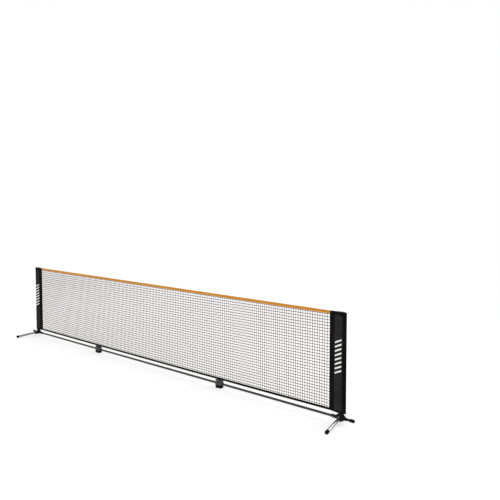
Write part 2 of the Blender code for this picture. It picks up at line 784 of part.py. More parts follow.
def sleeve(side, name, material, parent):
    """A flat fabric pocket over the post, closed at the top and open below."""
    x = side * POST_SPAN / 2.0
    outer = teardrop(SLEEVE_BULGE, SLEEVE_OUT, SLEEVE_IN, SLEEVE_EDGE)
    inner = teardrop(SLEEVE_BULGE - SLEEVE_WALL, POCKET_OUT, POCKET_IN, SLEEVE_EDGE / 2.0)
    shells = []
    for outline in (outer, inner):
        whole = outline + [(a, -b) for a, b in reversed(outline)]
        shells.append([(x + side * a, NET_Y + b) for a, b in whole])
    origin = post_point(side, SLEEVE_BOTTOM)
    item = piece(name, plate(shells[0], SLEEVE_BOTTOM, NET_TOP, "Z"), material, origin, parent)
    pocket = plate(shells[1], SLEEVE_BOTTOM - CUT_PAST, NET_TOP - SLEEVE_TOP_WALL, "Z")
    combine(item, [pocket], "DIFFERENCE")
    return item


def panel_ends(section):
    """Where a section of the net starts and stops along X."""
    edge = POST_SPAN / 2.0 - SLEEVE_IN - PANEL_GAP
    fold = HINGE_X
    spans = {
        "left": (-edge, -fold - PANEL_GAP / 2.0),
        "middle": (-fold + PANEL_GAP / 2.0, fold - PANEL_GAP / 2.0),
        "right": (fold + PANEL_GAP / 2.0, edge),
    }
    return spans[section]


def net_panel(section, material, parent, origin):
    start, stop = panel_ends(section)
    half = NET_THICKNESS / 2.0
    inset = BAND_WALL + BAND_SLACK
    low = (start, NET_Y - half, SLEEVE_BOTTOM + inset)
    high = (stop, NET_Y + half, NET_TOP - inset)
    return piece(f"netting_{section}", box(low, high), material, origin, parent)


def band(name, section, base, mouth, material, parent, origin):
    """A tape folded over the netting's edge, closed at base and open at mouth."""
    start, stop = panel_ends(section)
    inner = NET_THICKNESS / 2.0 + BAND_SLACK
    outer = inner + BAND_WALL
    floor = base + BAND_WALL if mouth > base else base - BAND_WALL
    outline = [
        (NET_Y - outer, base),
        (NET_Y + outer, base),
        (NET_Y + outer, mouth),
        (NET_Y + inner, mouth),
        (NET_Y + inner, floor),
        (NET_Y - inner, floor),
        (NET_Y - inner, mouth),
        (NET_Y - outer, mouth),
    ]
    return piece(name, plate(outline, start, stop, "X"), material, origin, parent)


def net_section(section, materials, parent, origin):
    net_panel(section, materials["netting"], parent, origin)
    orange = materials["orange_tape"]
    black = materials["black_fabric"]
    tape_mouth = NET_TOP - TAPE_HEIGHT
    hem_mouth = SLEEVE_BOTTOM + HEM_HEIGHT
    band(f"top_tape_{section}", section, NET_TOP, tape_mouth, orange, parent, origin)
    band(f"bottom_hem_{section}", section, SLEEVE_BOTTOM, hem_mouth, black, parent, origin)


# ---- Assembly ----
def build_middle(materials):
    """The middle bar with the fixed half of each knuckle; everything else hangs from it."""
    base_point = at_net(0.0, 0.0, 0.0)
    base = anchor("base", base_point)
    reach = HINGE_X - TUBE_SEAT
    start = at_net(-reach, 0.0, BAR_HEIGHT)
    end = at_net(reach, 0.0, BAR_HEIGHT)
    bar = tube(BAR_RADIUS, TUBE_WALL, start, end)
    piece("crossbar_middle", bar, materials["grey_tube"], base_point, base)
    for word, side in SIDES:
        rear = -side
        knuckle_half(f"knuckle_inner_{word}", side, True, rear, materials["black_plastic"], base)
        hinge_pin(f"hinge_pin_{word}", side, rear, materials["steel"], base)
        release_button(f"release_button_{word}", side, rear, materials["black_plastic"], base)
    return base


def build_end(word, side, materials, base):
    """One folding end: outer bar, hub, outrigger, lower post and front leg."""
    rear = -side
    fold_point = at_net(side * HINGE_X, rear * HINGE_OFFSET, BAR_HEIGHT)
    fold = anchor(f"fold_axis_{word}", fold_point, base)
    plastic = materials["black_plastic"]
    knuckle_half(f"knuckle_outer_{word}", side, False, rear, plastic, fold)
    start = at_net(side * (HINGE_X + TUBE_SEAT), 0.0, BAR_HEIGHT)
    end = at_net(side * (POST_SPAN / 2.0 - BAR_SEAT), 0.0, BAR_HEIGHT)
    bar = tube(BAR_RADIUS, TUBE_WALL, start, end)
    piece(f"crossbar_{word}", bar, materials["grey_tube"], start, fold)
    hub(side, f"hub_{word}", plastic, fold)
    outrigger(side, f"outrigger_{word}", materials["grey_tube"], fold)
    outrigger_cap(side, f"outrigger_cap_{word}", materials["black_rubber"], fold)
    pivot_bolt(side, f"pivot_bolt_{word}", materials["steel"], fold)
    lower_post(side, f"lower_post_{word}", materials["grey_tube"], fold)
    post_collar(side, f"post_collar_{word}", plastic, fold)
    leg_axis = anchor(f"leg_axis_{word}", leg_pivot(side), fold)
    leg_root(side, f"leg_root_{word}", plastic, leg_axis)
    leg_tube(side, f"leg_tube_{word}", materials["silver_tube"], leg_axis)
    leg_cap(side, f"leg_cap_{word}", materials["black_rubber"], leg_axis)


def build_lifting_net(materials, base):
    """Everything that rises with the net: upper posts, sleeves, netting and its bands."""
    lift_point = at_net(0.0, 0.0, SLEEVE_BOTTOM)
    lift = anchor("net_lift", lift_point, base)
    net_section("middle", materials, lift, lift_point)
    for word, side in SIDES:
        fold_point = at_net(side * HINGE_X, -side * HINGE_OFFSET, SLEEVE_BOTTOM)
        fold = anchor(f"net_fold_axis_{word}", fold_point, lift)
        upper_post(side, f"upper_post_{word}", materials["grey_tube"], fold)
        post_guide(side, f"post_guide_{word}", materials["black_plastic"], fold)
        post_plug(side, f"post_plug_{word}", materials["black_plastic"], fold)
        snap_clip(side, f"snap_clip_{word}", materials["steel"], fold)
        sleeve(side, f"sleeve_{word}", materials["black_fabric"], fold)
        net_section(word, materials, fold, fold_point)


def main():
    remove_everything()
    materials = make_materials()
    base = build_middle(materials)
    for word, side in SIDES:
        build_end(word, side, materials, base)
    build_lifting_net(materials, base)


main()
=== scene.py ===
"""Looks of the portable court net: cloth, netting, finishes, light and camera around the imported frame.

X runs along the net, -Y is the side of the front legs, Z is up. Every length is in metres.
"""

import bisect
import json
import math

import bmesh
import bpy
from mathutils import Matrix, Vector, noise


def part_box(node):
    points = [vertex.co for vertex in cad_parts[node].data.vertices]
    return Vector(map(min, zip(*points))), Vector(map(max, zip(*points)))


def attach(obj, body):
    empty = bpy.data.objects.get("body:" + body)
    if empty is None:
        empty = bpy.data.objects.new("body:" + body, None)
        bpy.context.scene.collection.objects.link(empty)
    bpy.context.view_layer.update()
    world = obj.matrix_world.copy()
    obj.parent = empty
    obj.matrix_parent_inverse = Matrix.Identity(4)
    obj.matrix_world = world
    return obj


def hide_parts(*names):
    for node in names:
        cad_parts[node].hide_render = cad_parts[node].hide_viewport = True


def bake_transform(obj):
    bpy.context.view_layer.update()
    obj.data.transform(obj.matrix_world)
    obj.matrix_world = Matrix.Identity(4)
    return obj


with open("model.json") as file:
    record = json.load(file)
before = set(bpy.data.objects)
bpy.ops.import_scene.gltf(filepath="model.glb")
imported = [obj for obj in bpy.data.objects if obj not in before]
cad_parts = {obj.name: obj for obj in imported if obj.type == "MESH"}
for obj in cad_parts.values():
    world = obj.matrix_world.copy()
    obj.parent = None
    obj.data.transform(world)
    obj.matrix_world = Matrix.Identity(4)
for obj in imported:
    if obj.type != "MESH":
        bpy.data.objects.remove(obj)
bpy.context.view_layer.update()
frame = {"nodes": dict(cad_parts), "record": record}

SIDES = (("left", -1), ("right", 1))
FRONT = -1  # the side of the net that the legs reach to
ROUND = 40  # sides of a turned piece
UP = Vector((0.0, 0.0, 1.0))

# ---- Places taken from the frame ----
POST_LOW, POST_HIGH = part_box("lower_post_right")
POST_X = (POST_LOW.x + POST_HIGH.x) / 2.0
NET_Y = (POST_LOW.y + POST_HIGH.y) / 2.0
BAR_LOW, BAR_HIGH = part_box("crossbar_middle")
BAR_Z = (BAR_LOW.z + BAR_HIGH.z) / 2.0
FOLD_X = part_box("hinge_pin_right")[0].lerp(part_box("hinge_pin_right")[1], 0.5).x
SLEEVE_LOW, SLEEVE_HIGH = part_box("sleeve_right")
NET_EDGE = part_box("netting_right")[1].x
TAPE_LOW, TAPE_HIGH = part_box("top_tape_middle")
HEM_LOW, HEM_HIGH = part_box("bottom_hem_middle")

# ---- Cloth ----
FOLD_REACH = 0.047  # the cloth turns over this length on each side of a fold line
NET_PITCH = 0.0252
TWINE_HALF_WIDTH = 0.0026  # knotless netting: a flat braid, widest in the plane of the net
TWINE_HALF_DEPTH = 0.0014
TWINE_SIDES = 6
KNOT_RADIUS = 0.0031
HEM_SAG = 0.004
CLOTH_ATTRIBUTE = "cloth"


# ---- Materials ----
class Recipe:
    """A material's node tree, with short calls for the nodes used here."""

    def __init__(self, name, roughness, metallic=0.0):
        self.material = bpy.data.materials.new(name)
        self.material.use_nodes = True
        self.tree = self.material.node_tree
        self.shader = self.tree.nodes["Principled BSDF"]
        self.set("Roughness", roughness)
        self.set("Metallic", metallic)

    def set(self, socket, value):
        self.shader.inputs[socket].default_value = value

    def node(self, kind, **values):
        made = self.tree.nodes.new(kind)
        for key, value in values.items():
            if hasattr(made, key):
                setattr(made, key, value)
            else:
                made.inputs[key.replace("_", " ")].default_value = value
        return made

    def link(self, source, target):
        self.tree.links.new(source, target)

    def place(self, scale=(1.0, 1.0, 1.0), turn=(0.0, 0.0, 0.0), attribute=None):
        """Coordinates in metres that stay with the piece."""
        if attribute:
            source = self.node("ShaderNodeAttribute", attribute_name=attribute).outputs["Vector"]
        else:
            source = self.node("ShaderNodeTexCoord").outputs["Object"]
        mapping = self.node("ShaderNodeMapping")
        mapping.inputs["Scale"].default_value = scale
        mapping.inputs["Rotation"].default_value = turn
        self.link(source, mapping.inputs["Vector"])
        return mapping.outputs["Vector"]

    def noise(self, place, scale, detail=3.0, roughness=0.5):
        made = self.node("ShaderNodeTexNoise")
        made.inputs["Scale"].default_value = scale
        made.inputs["Detail"].default_value = detail
        made.inputs["Roughness"].default_value = roughness
        self.link(place, made.inputs["Vector"])
        return made.outputs["Fac"]

    def wave(self, place, direction, scale, distortion=0.0):
        made = self.node("ShaderNodeTexWave", wave_type="BANDS", bands_direction=direction)
        made.inputs["Scale"].default_value = scale
        made.inputs["Distortion"].default_value = distortion
        made.inputs["Detail"].default_value = 1.0
        self.link(place, made.inputs["Vector"])
        return made.outputs["Fac"]

    def math(self, operation, first, second=None, clamp=False):
        made = self.node("ShaderNodeMath", operation=operation, use_clamp=clamp)
        for socket, value in zip(made.inputs, (first, second)):
            if value is None:
                continue
            if isinstance(value, (int, float)):
                socket.default_value = value
            else:
                self.link(value, socket)
        return made.outputs["Value"]

    def spread(self, value, low, high, start=0.0, stop=1.0):
        """Maps a value from start..stop to low..high."""
        made = self.node("ShaderNodeMapRange")
        made.inputs["From Min"].default_value = start
        made.inputs["From Max"].default_value = stop
        made.inputs["To Min"].default_value = low
        made.inputs["To Max"].default_value = high
        self.link(value, made.inputs["Value"])
        return made.outputs["Result"]

    def ramp(self, value, stops):
        made = self.node("ShaderNodeValToRGB")
        while len(made.color_ramp.elements) < len(stops):
            made.color_ramp.elements.new(0.5)
        for element, (position, colour) in zip(made.color_ramp.elements, stops):
            element.position = position
            element.color = (*colour, 1.0)
        self.link(value, made.inputs["Fac"])
        return made.outputs["Color"]

    def mix(self, share, first, second):
        made = self.node("ShaderNodeMix", data_type="RGBA")
        for socket, value in ((made.inputs[0], share), (made.inputs[6], first), (made.inputs[7], second)):
            if isinstance(value, tuple):
                socket.default_value = (*value, 1.0)
            elif isinstance(value, float):
                socket.default_value = value
            else:
                self.link(value, socket)
        return made.outputs[2]

    def colour(self, value):
        self.link(value, self.shader.inputs["Base Color"])

    def roughen(self, value):
        self.link(value, self.shader.inputs["Roughness"])

    def bump(self, height, distance, strength=1.0):
        made = self.node("ShaderNodeBump")
        made.inputs["Distance"].default_value = distance
        made.inputs["Strength"].default_value = strength
        self.link(height, made.inputs["Height"])
        self.link(made.outputs["Normal"], self.shader.inputs["Normal"])


def coated_metal(name, dark, light, roughness, metallic, gloss=0.5, coat=0.2, along=(4.0, 60.0, 60.0)):
    """Powder coat on steel tube: orange peel, faint flecks, and a few long rubbed streaks."""
    recipe = Recipe(name, roughness, metallic)
    place = recipe.place()
    cloud = recipe.noise(place, 9.0, 4.0)
    fleck = recipe.noise(place, 2600.0, 1.0)
    tone = recipe.math("ADD", recipe.math("MULTIPLY", cloud, 0.7), recipe.math("MULTIPLY", fleck, 0.3))
    recipe.colour(recipe.ramp(tone, ((0.30, dark), (0.70, light))))
    streak = recipe.noise(recipe.place(scale=along), 3.0, 4.0, 0.55)
    recipe.roughen(recipe.spread(streak, roughness - 0.04, roughness + 0.07, 0.3, 0.7))
    peel = recipe.noise(place, 520.0, 2.0)
    recipe.bump(peel, 0.00006, 0.6)
    recipe.set("Specular IOR Level", gloss)
    recipe.set("Coat Weight", coat)
    recipe.set("Coat Roughness", 0.18)
    return recipe.material


def moulded_plastic(name, dark, light, roughness):
    """Spark-textured moulding, a little paler and smoother where hands rub it."""
    recipe = Recipe(name, roughness)
    place = recipe.place()
    grain = recipe.noise(place, 1500.0, 2.0)
    cloud = recipe.noise(place, 28.0, 4.0, 0.6)
    recipe.colour(recipe.ramp(recipe.math("ADD", recipe.math("MULTIPLY", cloud, 0.75),
                                          recipe.math("MULTIPLY", grain, 0.25)), ((0.3, dark), (0.72, light))))
    recipe.roughen(recipe.spread(cloud, roughness + 0.10, roughness - 0.12, 0.3, 0.7))
    recipe.bump(grain, 0.00012, 0.7)
    recipe.set("Specular IOR Level", 0.18)
    return recipe.material


def rubber(name):
    """Matt rubber with a dusting of dirt low down where it meets the court."""
    recipe = Recipe(name, 0.82)
    place = recipe.place()
    grain = recipe.noise(place, 900.0, 3.0, 0.6)
    split = recipe.node("ShaderNodeSeparateXYZ")
    recipe.link(recipe.node("ShaderNodeTexCoord").outputs["Object"], split.inputs[0])
    low = recipe.spread(split.outputs["Z"], 0.25, 0.0, 0.0, 0.006)
    patch = recipe.noise(place, 140.0, 5.0, 0.7)
    dust = recipe.math("MULTIPLY", low, recipe.spread(patch, 0.0, 1.0, 0.4, 0.65), True)
    black = recipe.ramp(grain, ((0.3, (0.003, 0.003, 0.003)), (0.7, (0.010, 0.010, 0.010))))
    recipe.colour(recipe.mix(dust, black, (0.16, 0.145, 0.125)))
    recipe.bump(grain, 0.0002, 0.6)
    recipe.set("Specular IOR Level", 0.05)
    return recipe.material


def zinc(name):
    """Zinc-plated steel with fine turning marks."""
    recipe = Recipe(name, 0.3, 1.0)
    place = recipe.place()
    cloud = recipe.noise(place, 160.0, 3.0)
    recipe.colour(recipe.ramp(cloud, ((0.3, (0.46, 0.47, 0.49)), (0.7, (0.66, 0.66, 0.65)))))
    recipe.roughen(recipe.spread(recipe.noise(place, 900.0, 2.0), 0.22, 0.42, 0.3, 0.7))
    recipe.bump(recipe.noise(recipe.place(scale=(1.0, 1.0, 20.0)), 700.0, 2.0), 0.00004, 0.5)
    return recipe.material


def woven(name, dark, light, pitch, sheen, attribute=None, ribs="BOTH", roughness=0.8, dirt=0.03, gloss=0.10):
    """Cloth with real threads across and along, uneven dye and a soft sheen."""
    recipe = Recipe(name, roughness)
    place = recipe.place(attribute=attribute)
    turns = math.tau / (20.0 * pitch)
    across = recipe.wave(place, "X", turns, 0.35)
    upward = recipe.wave(place, "Z", turns, 0.35)
    if ribs == "BOTH":
        height = recipe.math("MAXIMUM", recipe.math("MULTIPLY", across, 0.9), upward)
    else:
        height = recipe.math("ADD", recipe.math("MULTIPLY", across, 0.8), recipe.math("MULTIPLY", upward, 0.2))
    cloud = recipe.noise(place, 14.0, 5.0, 0.6)
    fuzz = recipe.noise(place, 1100.0, 2.0)
    tone = recipe.math("ADD", recipe.math("MULTIPLY", height, 0.45), recipe.math("MULTIPLY", cloud, 0.40))
    tone = recipe.math("ADD", tone, recipe.math("MULTIPLY", fuzz, 0.15))
    cloth = recipe.ramp(tone, ((0.25, dark), (0.75, light)))
    lint = recipe.spread(recipe.noise(place, 5.0, 6.0, 0.7), 0.0, dirt, 0.45, 0.75)
    recipe.colour(recipe.mix(lint, cloth, (0.42, 0.40, 0.37)))
    recipe.roughen(recipe.spread(cloud, roughness - 0.08, roughness + 0.1, 0.3, 0.7))
    recipe.bump(recipe.math("ADD", height, recipe.math("MULTIPLY", fuzz, 0.4)), pitch * 0.35, 0.8)
    recipe.set("Specular IOR Level", gloss)
    recipe.set("Sheen Weight", sheen)
    recipe.set("Sheen Roughness", 0.45)
    return recipe.material


def twine(name):
    """Dark brown-black nylon cord, its lay seen as a slanting ripple."""
    recipe = Recipe(name, 0.55)
    place = recipe.place(attribute=CLOTH_ATTRIBUTE)
    lay = recipe.wave(recipe.place(turn=(0.0, math.radians(35.0), 0.0), attribute=CLOTH_ATTRIBUTE), "X", 140.0)
    cloud = recipe.noise(place, 6.0, 4.0)
    tone = recipe.math("ADD", recipe.math("MULTIPLY", lay, 0.4), recipe.math("MULTIPLY", cloud, 0.6))
    recipe.colour(recipe.ramp(tone, ((0.3, (0.024, 0.005, 0.005)), (0.7, (0.072, 0.013, 0.014)))))
    recipe.bump(lay, 0.0003, 0.8)
    recipe.set("Specular IOR Level", 0.12)
    return recipe.material


def floor_finish(name):
    """A pale lit floor, like a light table, so that shadows stay faint."""
    recipe = Recipe(name, 0.9)
    cloud = recipe.noise(recipe.place(), 0.8, 2.0)
    recipe.colour(recipe.ramp(cloud, ((0.3, (0.47, 0.47, 0.47)), (0.7, (0.49, 0.49, 0.49)))))
    recipe.set("Specular IOR Level", 0.0)
    recipe.set("Emission Color", (1.0, 1.0, 1.0, 1.0))
    recipe.set("Emission Strength", 0.53)
    return recipe.material


SILVER = coated_metal(
    "silver_tube_finish", (0.23, 0.235, 0.24), (0.38, 0.385, 0.395), 0.25, 1.0, along=(50.0, 3.0, 50.0)
)
GREY = coated_metal("grey_tube_finish", (0.012, 0.0125, 0.0135), (0.027, 0.028, 0.030), 0.36, 0.0, 0.33, 0.05)
BLACK = coated_metal("black_tube_finish", (0.003, 0.003, 0.0033), (0.009, 0.009, 0.010), 0.40, 0.0, 0.12, 0.02)
PLASTIC = moulded_plastic("moulded_plastic_finish", (0.002, 0.002, 0.0023), (0.009, 0.009, 0.010), 0.46)
# The knuckles' plastic is a paler copy of the black moulding: a painted highlight on their upper part.
KNUCKLE_PLASTIC_PAINTED_HIGHLIGHT = moulded_plastic("knuckle_plastic_painted_highlight", (0.018, 0.018, 0.019), (0.082, 0.082, 0.085), 0.42)
RUBBER = rubber("rubber_finish")
STEEL = zinc("zinc_steel_finish")
SLEEVE_CLOTH = woven("sleeve_cloth", (0.0028, 0.0028, 0.0032), (0.0150, 0.0150, 0.0162), 0.0009, 0.04)
WEBBING = woven("binding_webbing", (0.0012, 0.0012, 0.0014), (0.0042, 0.0042, 0.0045), 0.0016, 0.01, dirt=0.01, gloss=0.04)
THREAD = woven("black_thread", (0.004, 0.004, 0.005), (0.018, 0.018, 0.020), 0.0004, 0.05, dirt=0.0)
PRINT_INK = woven("white_print", (0.62, 0.62, 0.61), (0.84, 0.84, 0.83), 0.0009, 0.0, dirt=0.0, roughness=0.6)
HEM_CLOTH = woven(
    "hem_cloth", (0.0012, 0.0012, 0.0014), (0.0050, 0.0048, 0.0050), 0.0012, 0.01, CLOTH_ATTRIBUTE, dirt=0.01, gloss=0.04
)
TAPE_CLOTH = woven(
    "tape_cloth", (0.40, 0.148, 0.007), (0.66, 0.275, 0.022), 0.0011, 0.04, CLOTH_ATTRIBUTE, "ACROSS", 0.7, 0.02
)
TAPE_THREAD = woven("tape_thread", (0.55, 0.20, 0.02), (0.80, 0.36, 0.05), 0.0004, 0.05, CLOTH_ATTRIBUTE, dirt=0.0)
TWINE = twine("net_twine")
CAD_FINISHES = {
    "silver_tube": SILVER,
    "grey_tube": GREY,
    "black_plastic": PLASTIC,
    "black_rubber": RUBBER,
    "steel": STEEL,
    "black_fabric": SLEEVE_CLOTH,
    "orange_tape": TAPE_CLOTH,
    "netting": TWINE,
}


# ---- Meshes ----
def finish_piece(name, points, faces, material, smooth_degrees=40.0, cloth=False):
    """An object from points and faces, with its faces pointing out."""
    bm = bmesh.new()
    corners = [bm.verts.new(point) for point in points]
    for face in faces:
        bm.faces.new([corners[index] for index in face])
    bmesh.ops.recalc_face_normals(bm, faces=bm.faces)
    return finish_bmesh(name, bm, material, smooth_degrees, cloth)


def finish_bmesh(name, bm, material, smooth_degrees=40.0, cloth=False):
    mesh = bpy.data.meshes.new(name)
    bm.to_mesh(mesh)
    bm.free()
    mesh.materials.append(material)
    mesh.shade_smooth()
    mesh.set_sharp_from_angle(angle=math.radians(smooth_degrees))
    if cloth:
        remember_rest(mesh)
    item = bpy.data.objects.new(name, mesh)
    bpy.context.scene.collection.objects.link(item)
    return item


def remember_rest(mesh):
    """Keeps the rest places as an attribute, so that a weave stays on cloth that bends."""
    attribute = mesh.attributes.new(CLOTH_ATTRIBUTE, "FLOAT_VECTOR", "POINT")
    for corner, store in zip(mesh.vertices, attribute.data):
        store.vector = corner.co


def sweep(stations, outline, closed_ends=True):
    """Joins copies of a closed outline, one at each station; a station maps (a, b) to a point."""
    points = []
    faces = []
    count = len(outline)
    for station in stations:
        points += [station(a, b) for a, b in outline]
    for row in range(len(stations) - 1):
        for step in range(count):
            after = (step + 1) % count
            low, high = row * count, (row + 1) * count
            faces.append((low + step, low + after, high + after, high + step))
    if closed_ends:
        faces.append(tuple(range(count)))
        faces.append(tuple(range((len(stations) - 1) * count, len(stations) * count)))
    return points, faces


# ---- Netting ----
def drift(x, z):
    """How far slack cloth stands off the net's plane."""
    return 0.0016 * noise.noise(Vector((x * 1.7, 0.0, z * 2.3 + 5.0)))


def sag(x, z):
    """The slack net hangs a little lower half way along, most at its hem."""
    lowness = (TAPE_HIGH.z - z) / (TAPE_HIGH.z - HEM_LOW.z)
    return -HEM_SAG * (1.0 - (x / NET_EDGE) ** 2) * min(1.0, max(0.0, lowness))


def fine_steps(start, stop):
    """Places along the net, closer together where it turns over a fold line."""
    places = []
    x = start
    while x < stop - 1e-6:
        places.append(x)
        near = abs(abs(x) - FOLD_X) < FOLD_REACH + 0.02
        x += NET_PITCH / 4.0 if near else NET_PITCH
    places.append(stop)
    return places


def strand(path, points, faces):
    """Adds a flat braided cord along a path."""
    first = len(points)
    sides = TWINE_SIDES
    for index, place in enumerate(path):
        before = path[max(index - 1, 0)]
        after = path[min(index + 1, len(path) - 1)]
        along = (after - before).normalized()
        wide = along.cross(Vector((0.0, 1.0, 0.0))).normalized() * TWINE_HALF_WIDTH
        deep = Vector((0.0, TWINE_HALF_DEPTH, 0.0))
        for turn in range(sides):
            angle = math.tau * turn / sides
            points.append(place + wide * math.cos(angle) + deep * math.sin(angle))
    for row in range(len(path) - 1):
        for turn in range(sides):
            after = (turn + 1) % sides
            low, high = first + row * sides, first + (row + 1) * sides
            faces.append((low + turn, low + after, high + after, high + turn))
    last = first + (len(path) - 1) * sides
    faces.append(tuple(first + turn for turn in reversed(range(sides))))
    faces.append(tuple(last + turn for turn in range(sides)))


def knot(place, radius, points, faces):
    first = len(points)
    for offset in ((1, 0, 0), (0, 1, 0), (-1, 0, 0), (0, -1, 0), (0, 0, 1), (0, 0, -1)):
        points.append(place + Vector(offset) * radius)
    for turn in range(4):
        after = (turn + 1) % 4
        faces.append((first + turn, first + after, first + 4))
        faces.append((first + after, first + turn, first + 5))


def crossing(column, row, columns, rows, side):
    """Where an upright cord meets a level one, with a little unevenness."""
    x = side * NET_EDGE * column / columns
    z = HEM_LOW.z + 0.004 + (TAPE_HIGH.z - HEM_LOW.z - 0.010) * row / rows
    uneven = noise.noise_vector(Vector((column * 0.7, row * 0.7, side * 9.0))) * 0.0007
    if column == 0:
        uneven.x = 0.0
    return Vector((x + uneven.x, NET_Y + drift(x, z), z + uneven.z + sag(x, z)))


def netting_half(word, side):
    """The square mesh from the middle of the net to one sleeve."""
    columns = round(NET_EDGE / NET_PITCH)
    rows = round((TAPE_HIGH.z - HEM_LOW.z) / NET_PITCH)
    points = []
    faces = []
    first_column = 0 if side > 0 else 1
    for column in range(first_column, columns + 1):
        path = [crossing(column, row, columns, rows, side) for row in range(rows + 1)]
        strand(path, points, faces)
    for row in range(1, rows):
        path = []
        for column in range(columns + 1):
            here = crossing(column, row, columns, rows, side)
            if path and abs(abs(here.x) - FOLD_X) < FOLD_REACH + NET_PITCH:
                before = path[-1]
                path += [before.lerp(here, share / 3.0) for share in (1, 2)]
            path.append(here)
        path[-1] = path[-1] + Vector((side * 0.006, 0.0, 0.0))
        strand(path, points, faces)
    for column in range(first_column, columns):
        for row in range(1, rows):
            knot(crossing(column, row, columns, rows, side), KNOT_RADIUS, points, faces)
    item = finish_piece(f"netting_mesh_{word}", points, faces, TWINE, 80.0, True)
    return item


def cross_fold(item):
    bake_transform(item)


# ---- Sleeves ----
SLEEVE_OUT = SLEEVE_HIGH.x - POST_X
SLEEVE_IN = POST_X - SLEEVE_LOW.x
SLEEVE_BULGE = (SLEEVE_HIGH.y - SLEEVE_LOW.y) / 2.0
SLEEVE_TIP = 0.0022  # half thickness of the sewn edges
CLOTH_THICKNESS = 0.0011
BINDING_INNER = 0.052  # how far the webbing reaches round each sewn edge
BINDING_OUTER = 0.033
BINDING_THICKNESS = 0.0009
TOP_BAND = 0.027
BOTTOM_BAND = 0.018
STITCH_PITCH = 0.0052
STITCH_LENGTH = 0.0036
STITCH_RADIUS = 0.00038
BAR_COUNT = 8  # plain slanted bars printed on each sleeve
BAR_SLANT = 0.45
BAR_STEP = 0.036
BAR_THICKNESS = 0.0135
BAR_HALF_WIDTH = 0.034
PRINT_CENTRE = 0.56  # share of the sleeve's height


class SleeveSkin:
    """The outer surface of a sleeve: a is the length round it from its inner edge, along the front."""

    def __init__(self, side):
        self.side = side
        self.places = self.trace()
        self.lengths = [0.0]
        for before, after in zip(self.places, self.places[1:]):
            self.lengths.append(self.lengths[-1] + math.dist(before, after))
        self.round_length = self.lengths[-1]

    def trace(self):
        """The closed outline as (reach outward from the post, distance in front of the net line)."""
        tip = SLEEVE_TIP
        front = [(-SLEEVE_IN, 0.0)]
        for step in range(1, 7):
            angle = math.pi - math.pi / 2.0 * step / 6.0
            front.append((-SLEEVE_IN + tip + tip * math.cos(angle), tip * math.sin(angle)))
        radius = SLEEVE_BULGE
        for reach, turn in ((-SLEEVE_IN + tip, 1), (SLEEVE_OUT - tip, -1)):
            bearing = math.atan2(tip, reach)
            touch = bearing - turn * math.acos(radius / math.hypot(reach, tip))
            if turn > 0:
                start = touch
            else:
                stop = touch
        for step in range(25):
            angle = start + (stop - start) * step / 24.0
            front.append((radius * math.cos(angle), radius * math.sin(angle)))
        for step in range(6):
            angle = math.pi / 2.0 - math.pi / 2.0 * step / 6.0
            front.append((SLEEVE_OUT - tip + tip * math.cos(angle), tip * math.sin(angle)))
        front.append((SLEEVE_OUT, 0.0))
        return front + [(reach, -across) for reach, across in front[-2::-1]]

    def flat_point(self, a):
        a = a % self.round_length
        index = min(max(bisect.bisect_left(self.lengths, a) - 1, 0), len(self.lengths) - 2)
        share = (a - self.lengths[index]) / (self.lengths[index + 1] - self.lengths[index])
        first, second = self.places[index], self.places[index + 1]
        return Vector((first[0] + (second[0] - first[0]) * share, first[1] + (second[1] - first[1]) * share))

    def wrinkle(self, reach, across, z):
        """Soft dents of slack cloth, none at the sewn edges."""
        edge = min(reach + SLEEVE_IN, SLEEVE_OUT - reach)
        calm = min(1.0, max(0.0, edge - 0.004) / 0.030)
        face = 1.0 if across > 0.0 else -1.0
        long_fold = noise.noise(Vector((reach * 30.0, face * 4.0 + self.side * 7.0, z * 3.2)))
        crease = noise.noise(Vector((reach * 26.0 + z * 22.0, face * 2.0, z * 14.0 - reach * 20.0)))
        ends = math.exp(-((SLEEVE_HIGH.z - z) / 0.10) ** 2) + math.exp(-((z - SLEEVE_LOW.z) / 0.12) ** 2)
        return calm * (0.0016 * long_fold + crease * (0.0005 + 0.0011 * ends))

    def point(self, a, z, lift=0.0):
        flat = self.flat_point(a)
        step = 0.0008
        along = (self.flat_point(a + step) - self.flat_point(a - step)).normalized()
        out = Vector((-along.y, along.x))
        spot = flat + out * (lift + self.wrinkle(flat.x, flat.y, z))
        return Vector((self.side * (POST_X + spot.x), NET_Y + FRONT * spot.y, z))


def levels(start, stop, step):
    count = max(1, math.ceil((stop - start) / step - 1e-6))
    return [start + (stop - start) * index / count for index in range(count + 1)]


def sleeve_body(word, skin):
    """A bag of cloth over the post, lidded at the top and open at the bottom."""
    around = 112
    bottom, top = SLEEVE_LOW.z, SLEEVE_HIGH.z
    rows = [(z, 0.0) for z in levels(bottom, top - 0.003, 0.009)]
    rows += [(top - 0.0012, -0.0003), (top, -0.0012)]
    inside = [(z, -CLOTH_THICKNESS) for z in levels(bottom, top - 0.004, 0.018)]
    points = []
    for z, lift in rows + inside[::-1]:
        points += [skin.point(skin.round_length * step / around, z, lift) for step in range(around)]
    lid_row = len(rows) - 1
    total = len(rows) + len(inside)
    faces = []
    for row in list(range(lid_row)) + list(range(lid_row + 1, total - 1)) + [total - 1]:
        after_row = (row + 1) % total
        for step in range(around):
            after = (step + 1) % around
            quad = (row * around + step, row * around + after)
            faces.append((*quad, after_row * around + after, after_row * around + step))
    for row in (lid_row, lid_row + 1):
        first = row * around
        for step in range(1, around // 2 - 1):
            faces.append((first + step, first + step + 1, first + around - step - 1, first + around - step))
        faces.append((first, first + 1, first + around - 1))
        middle = first + around // 2
        faces.append((middle, middle + 1, middle - 1))
    return finish_piece(f"sleeve_cloth_{word}", points, faces, SLEEVE_CLOTH, 60.0)


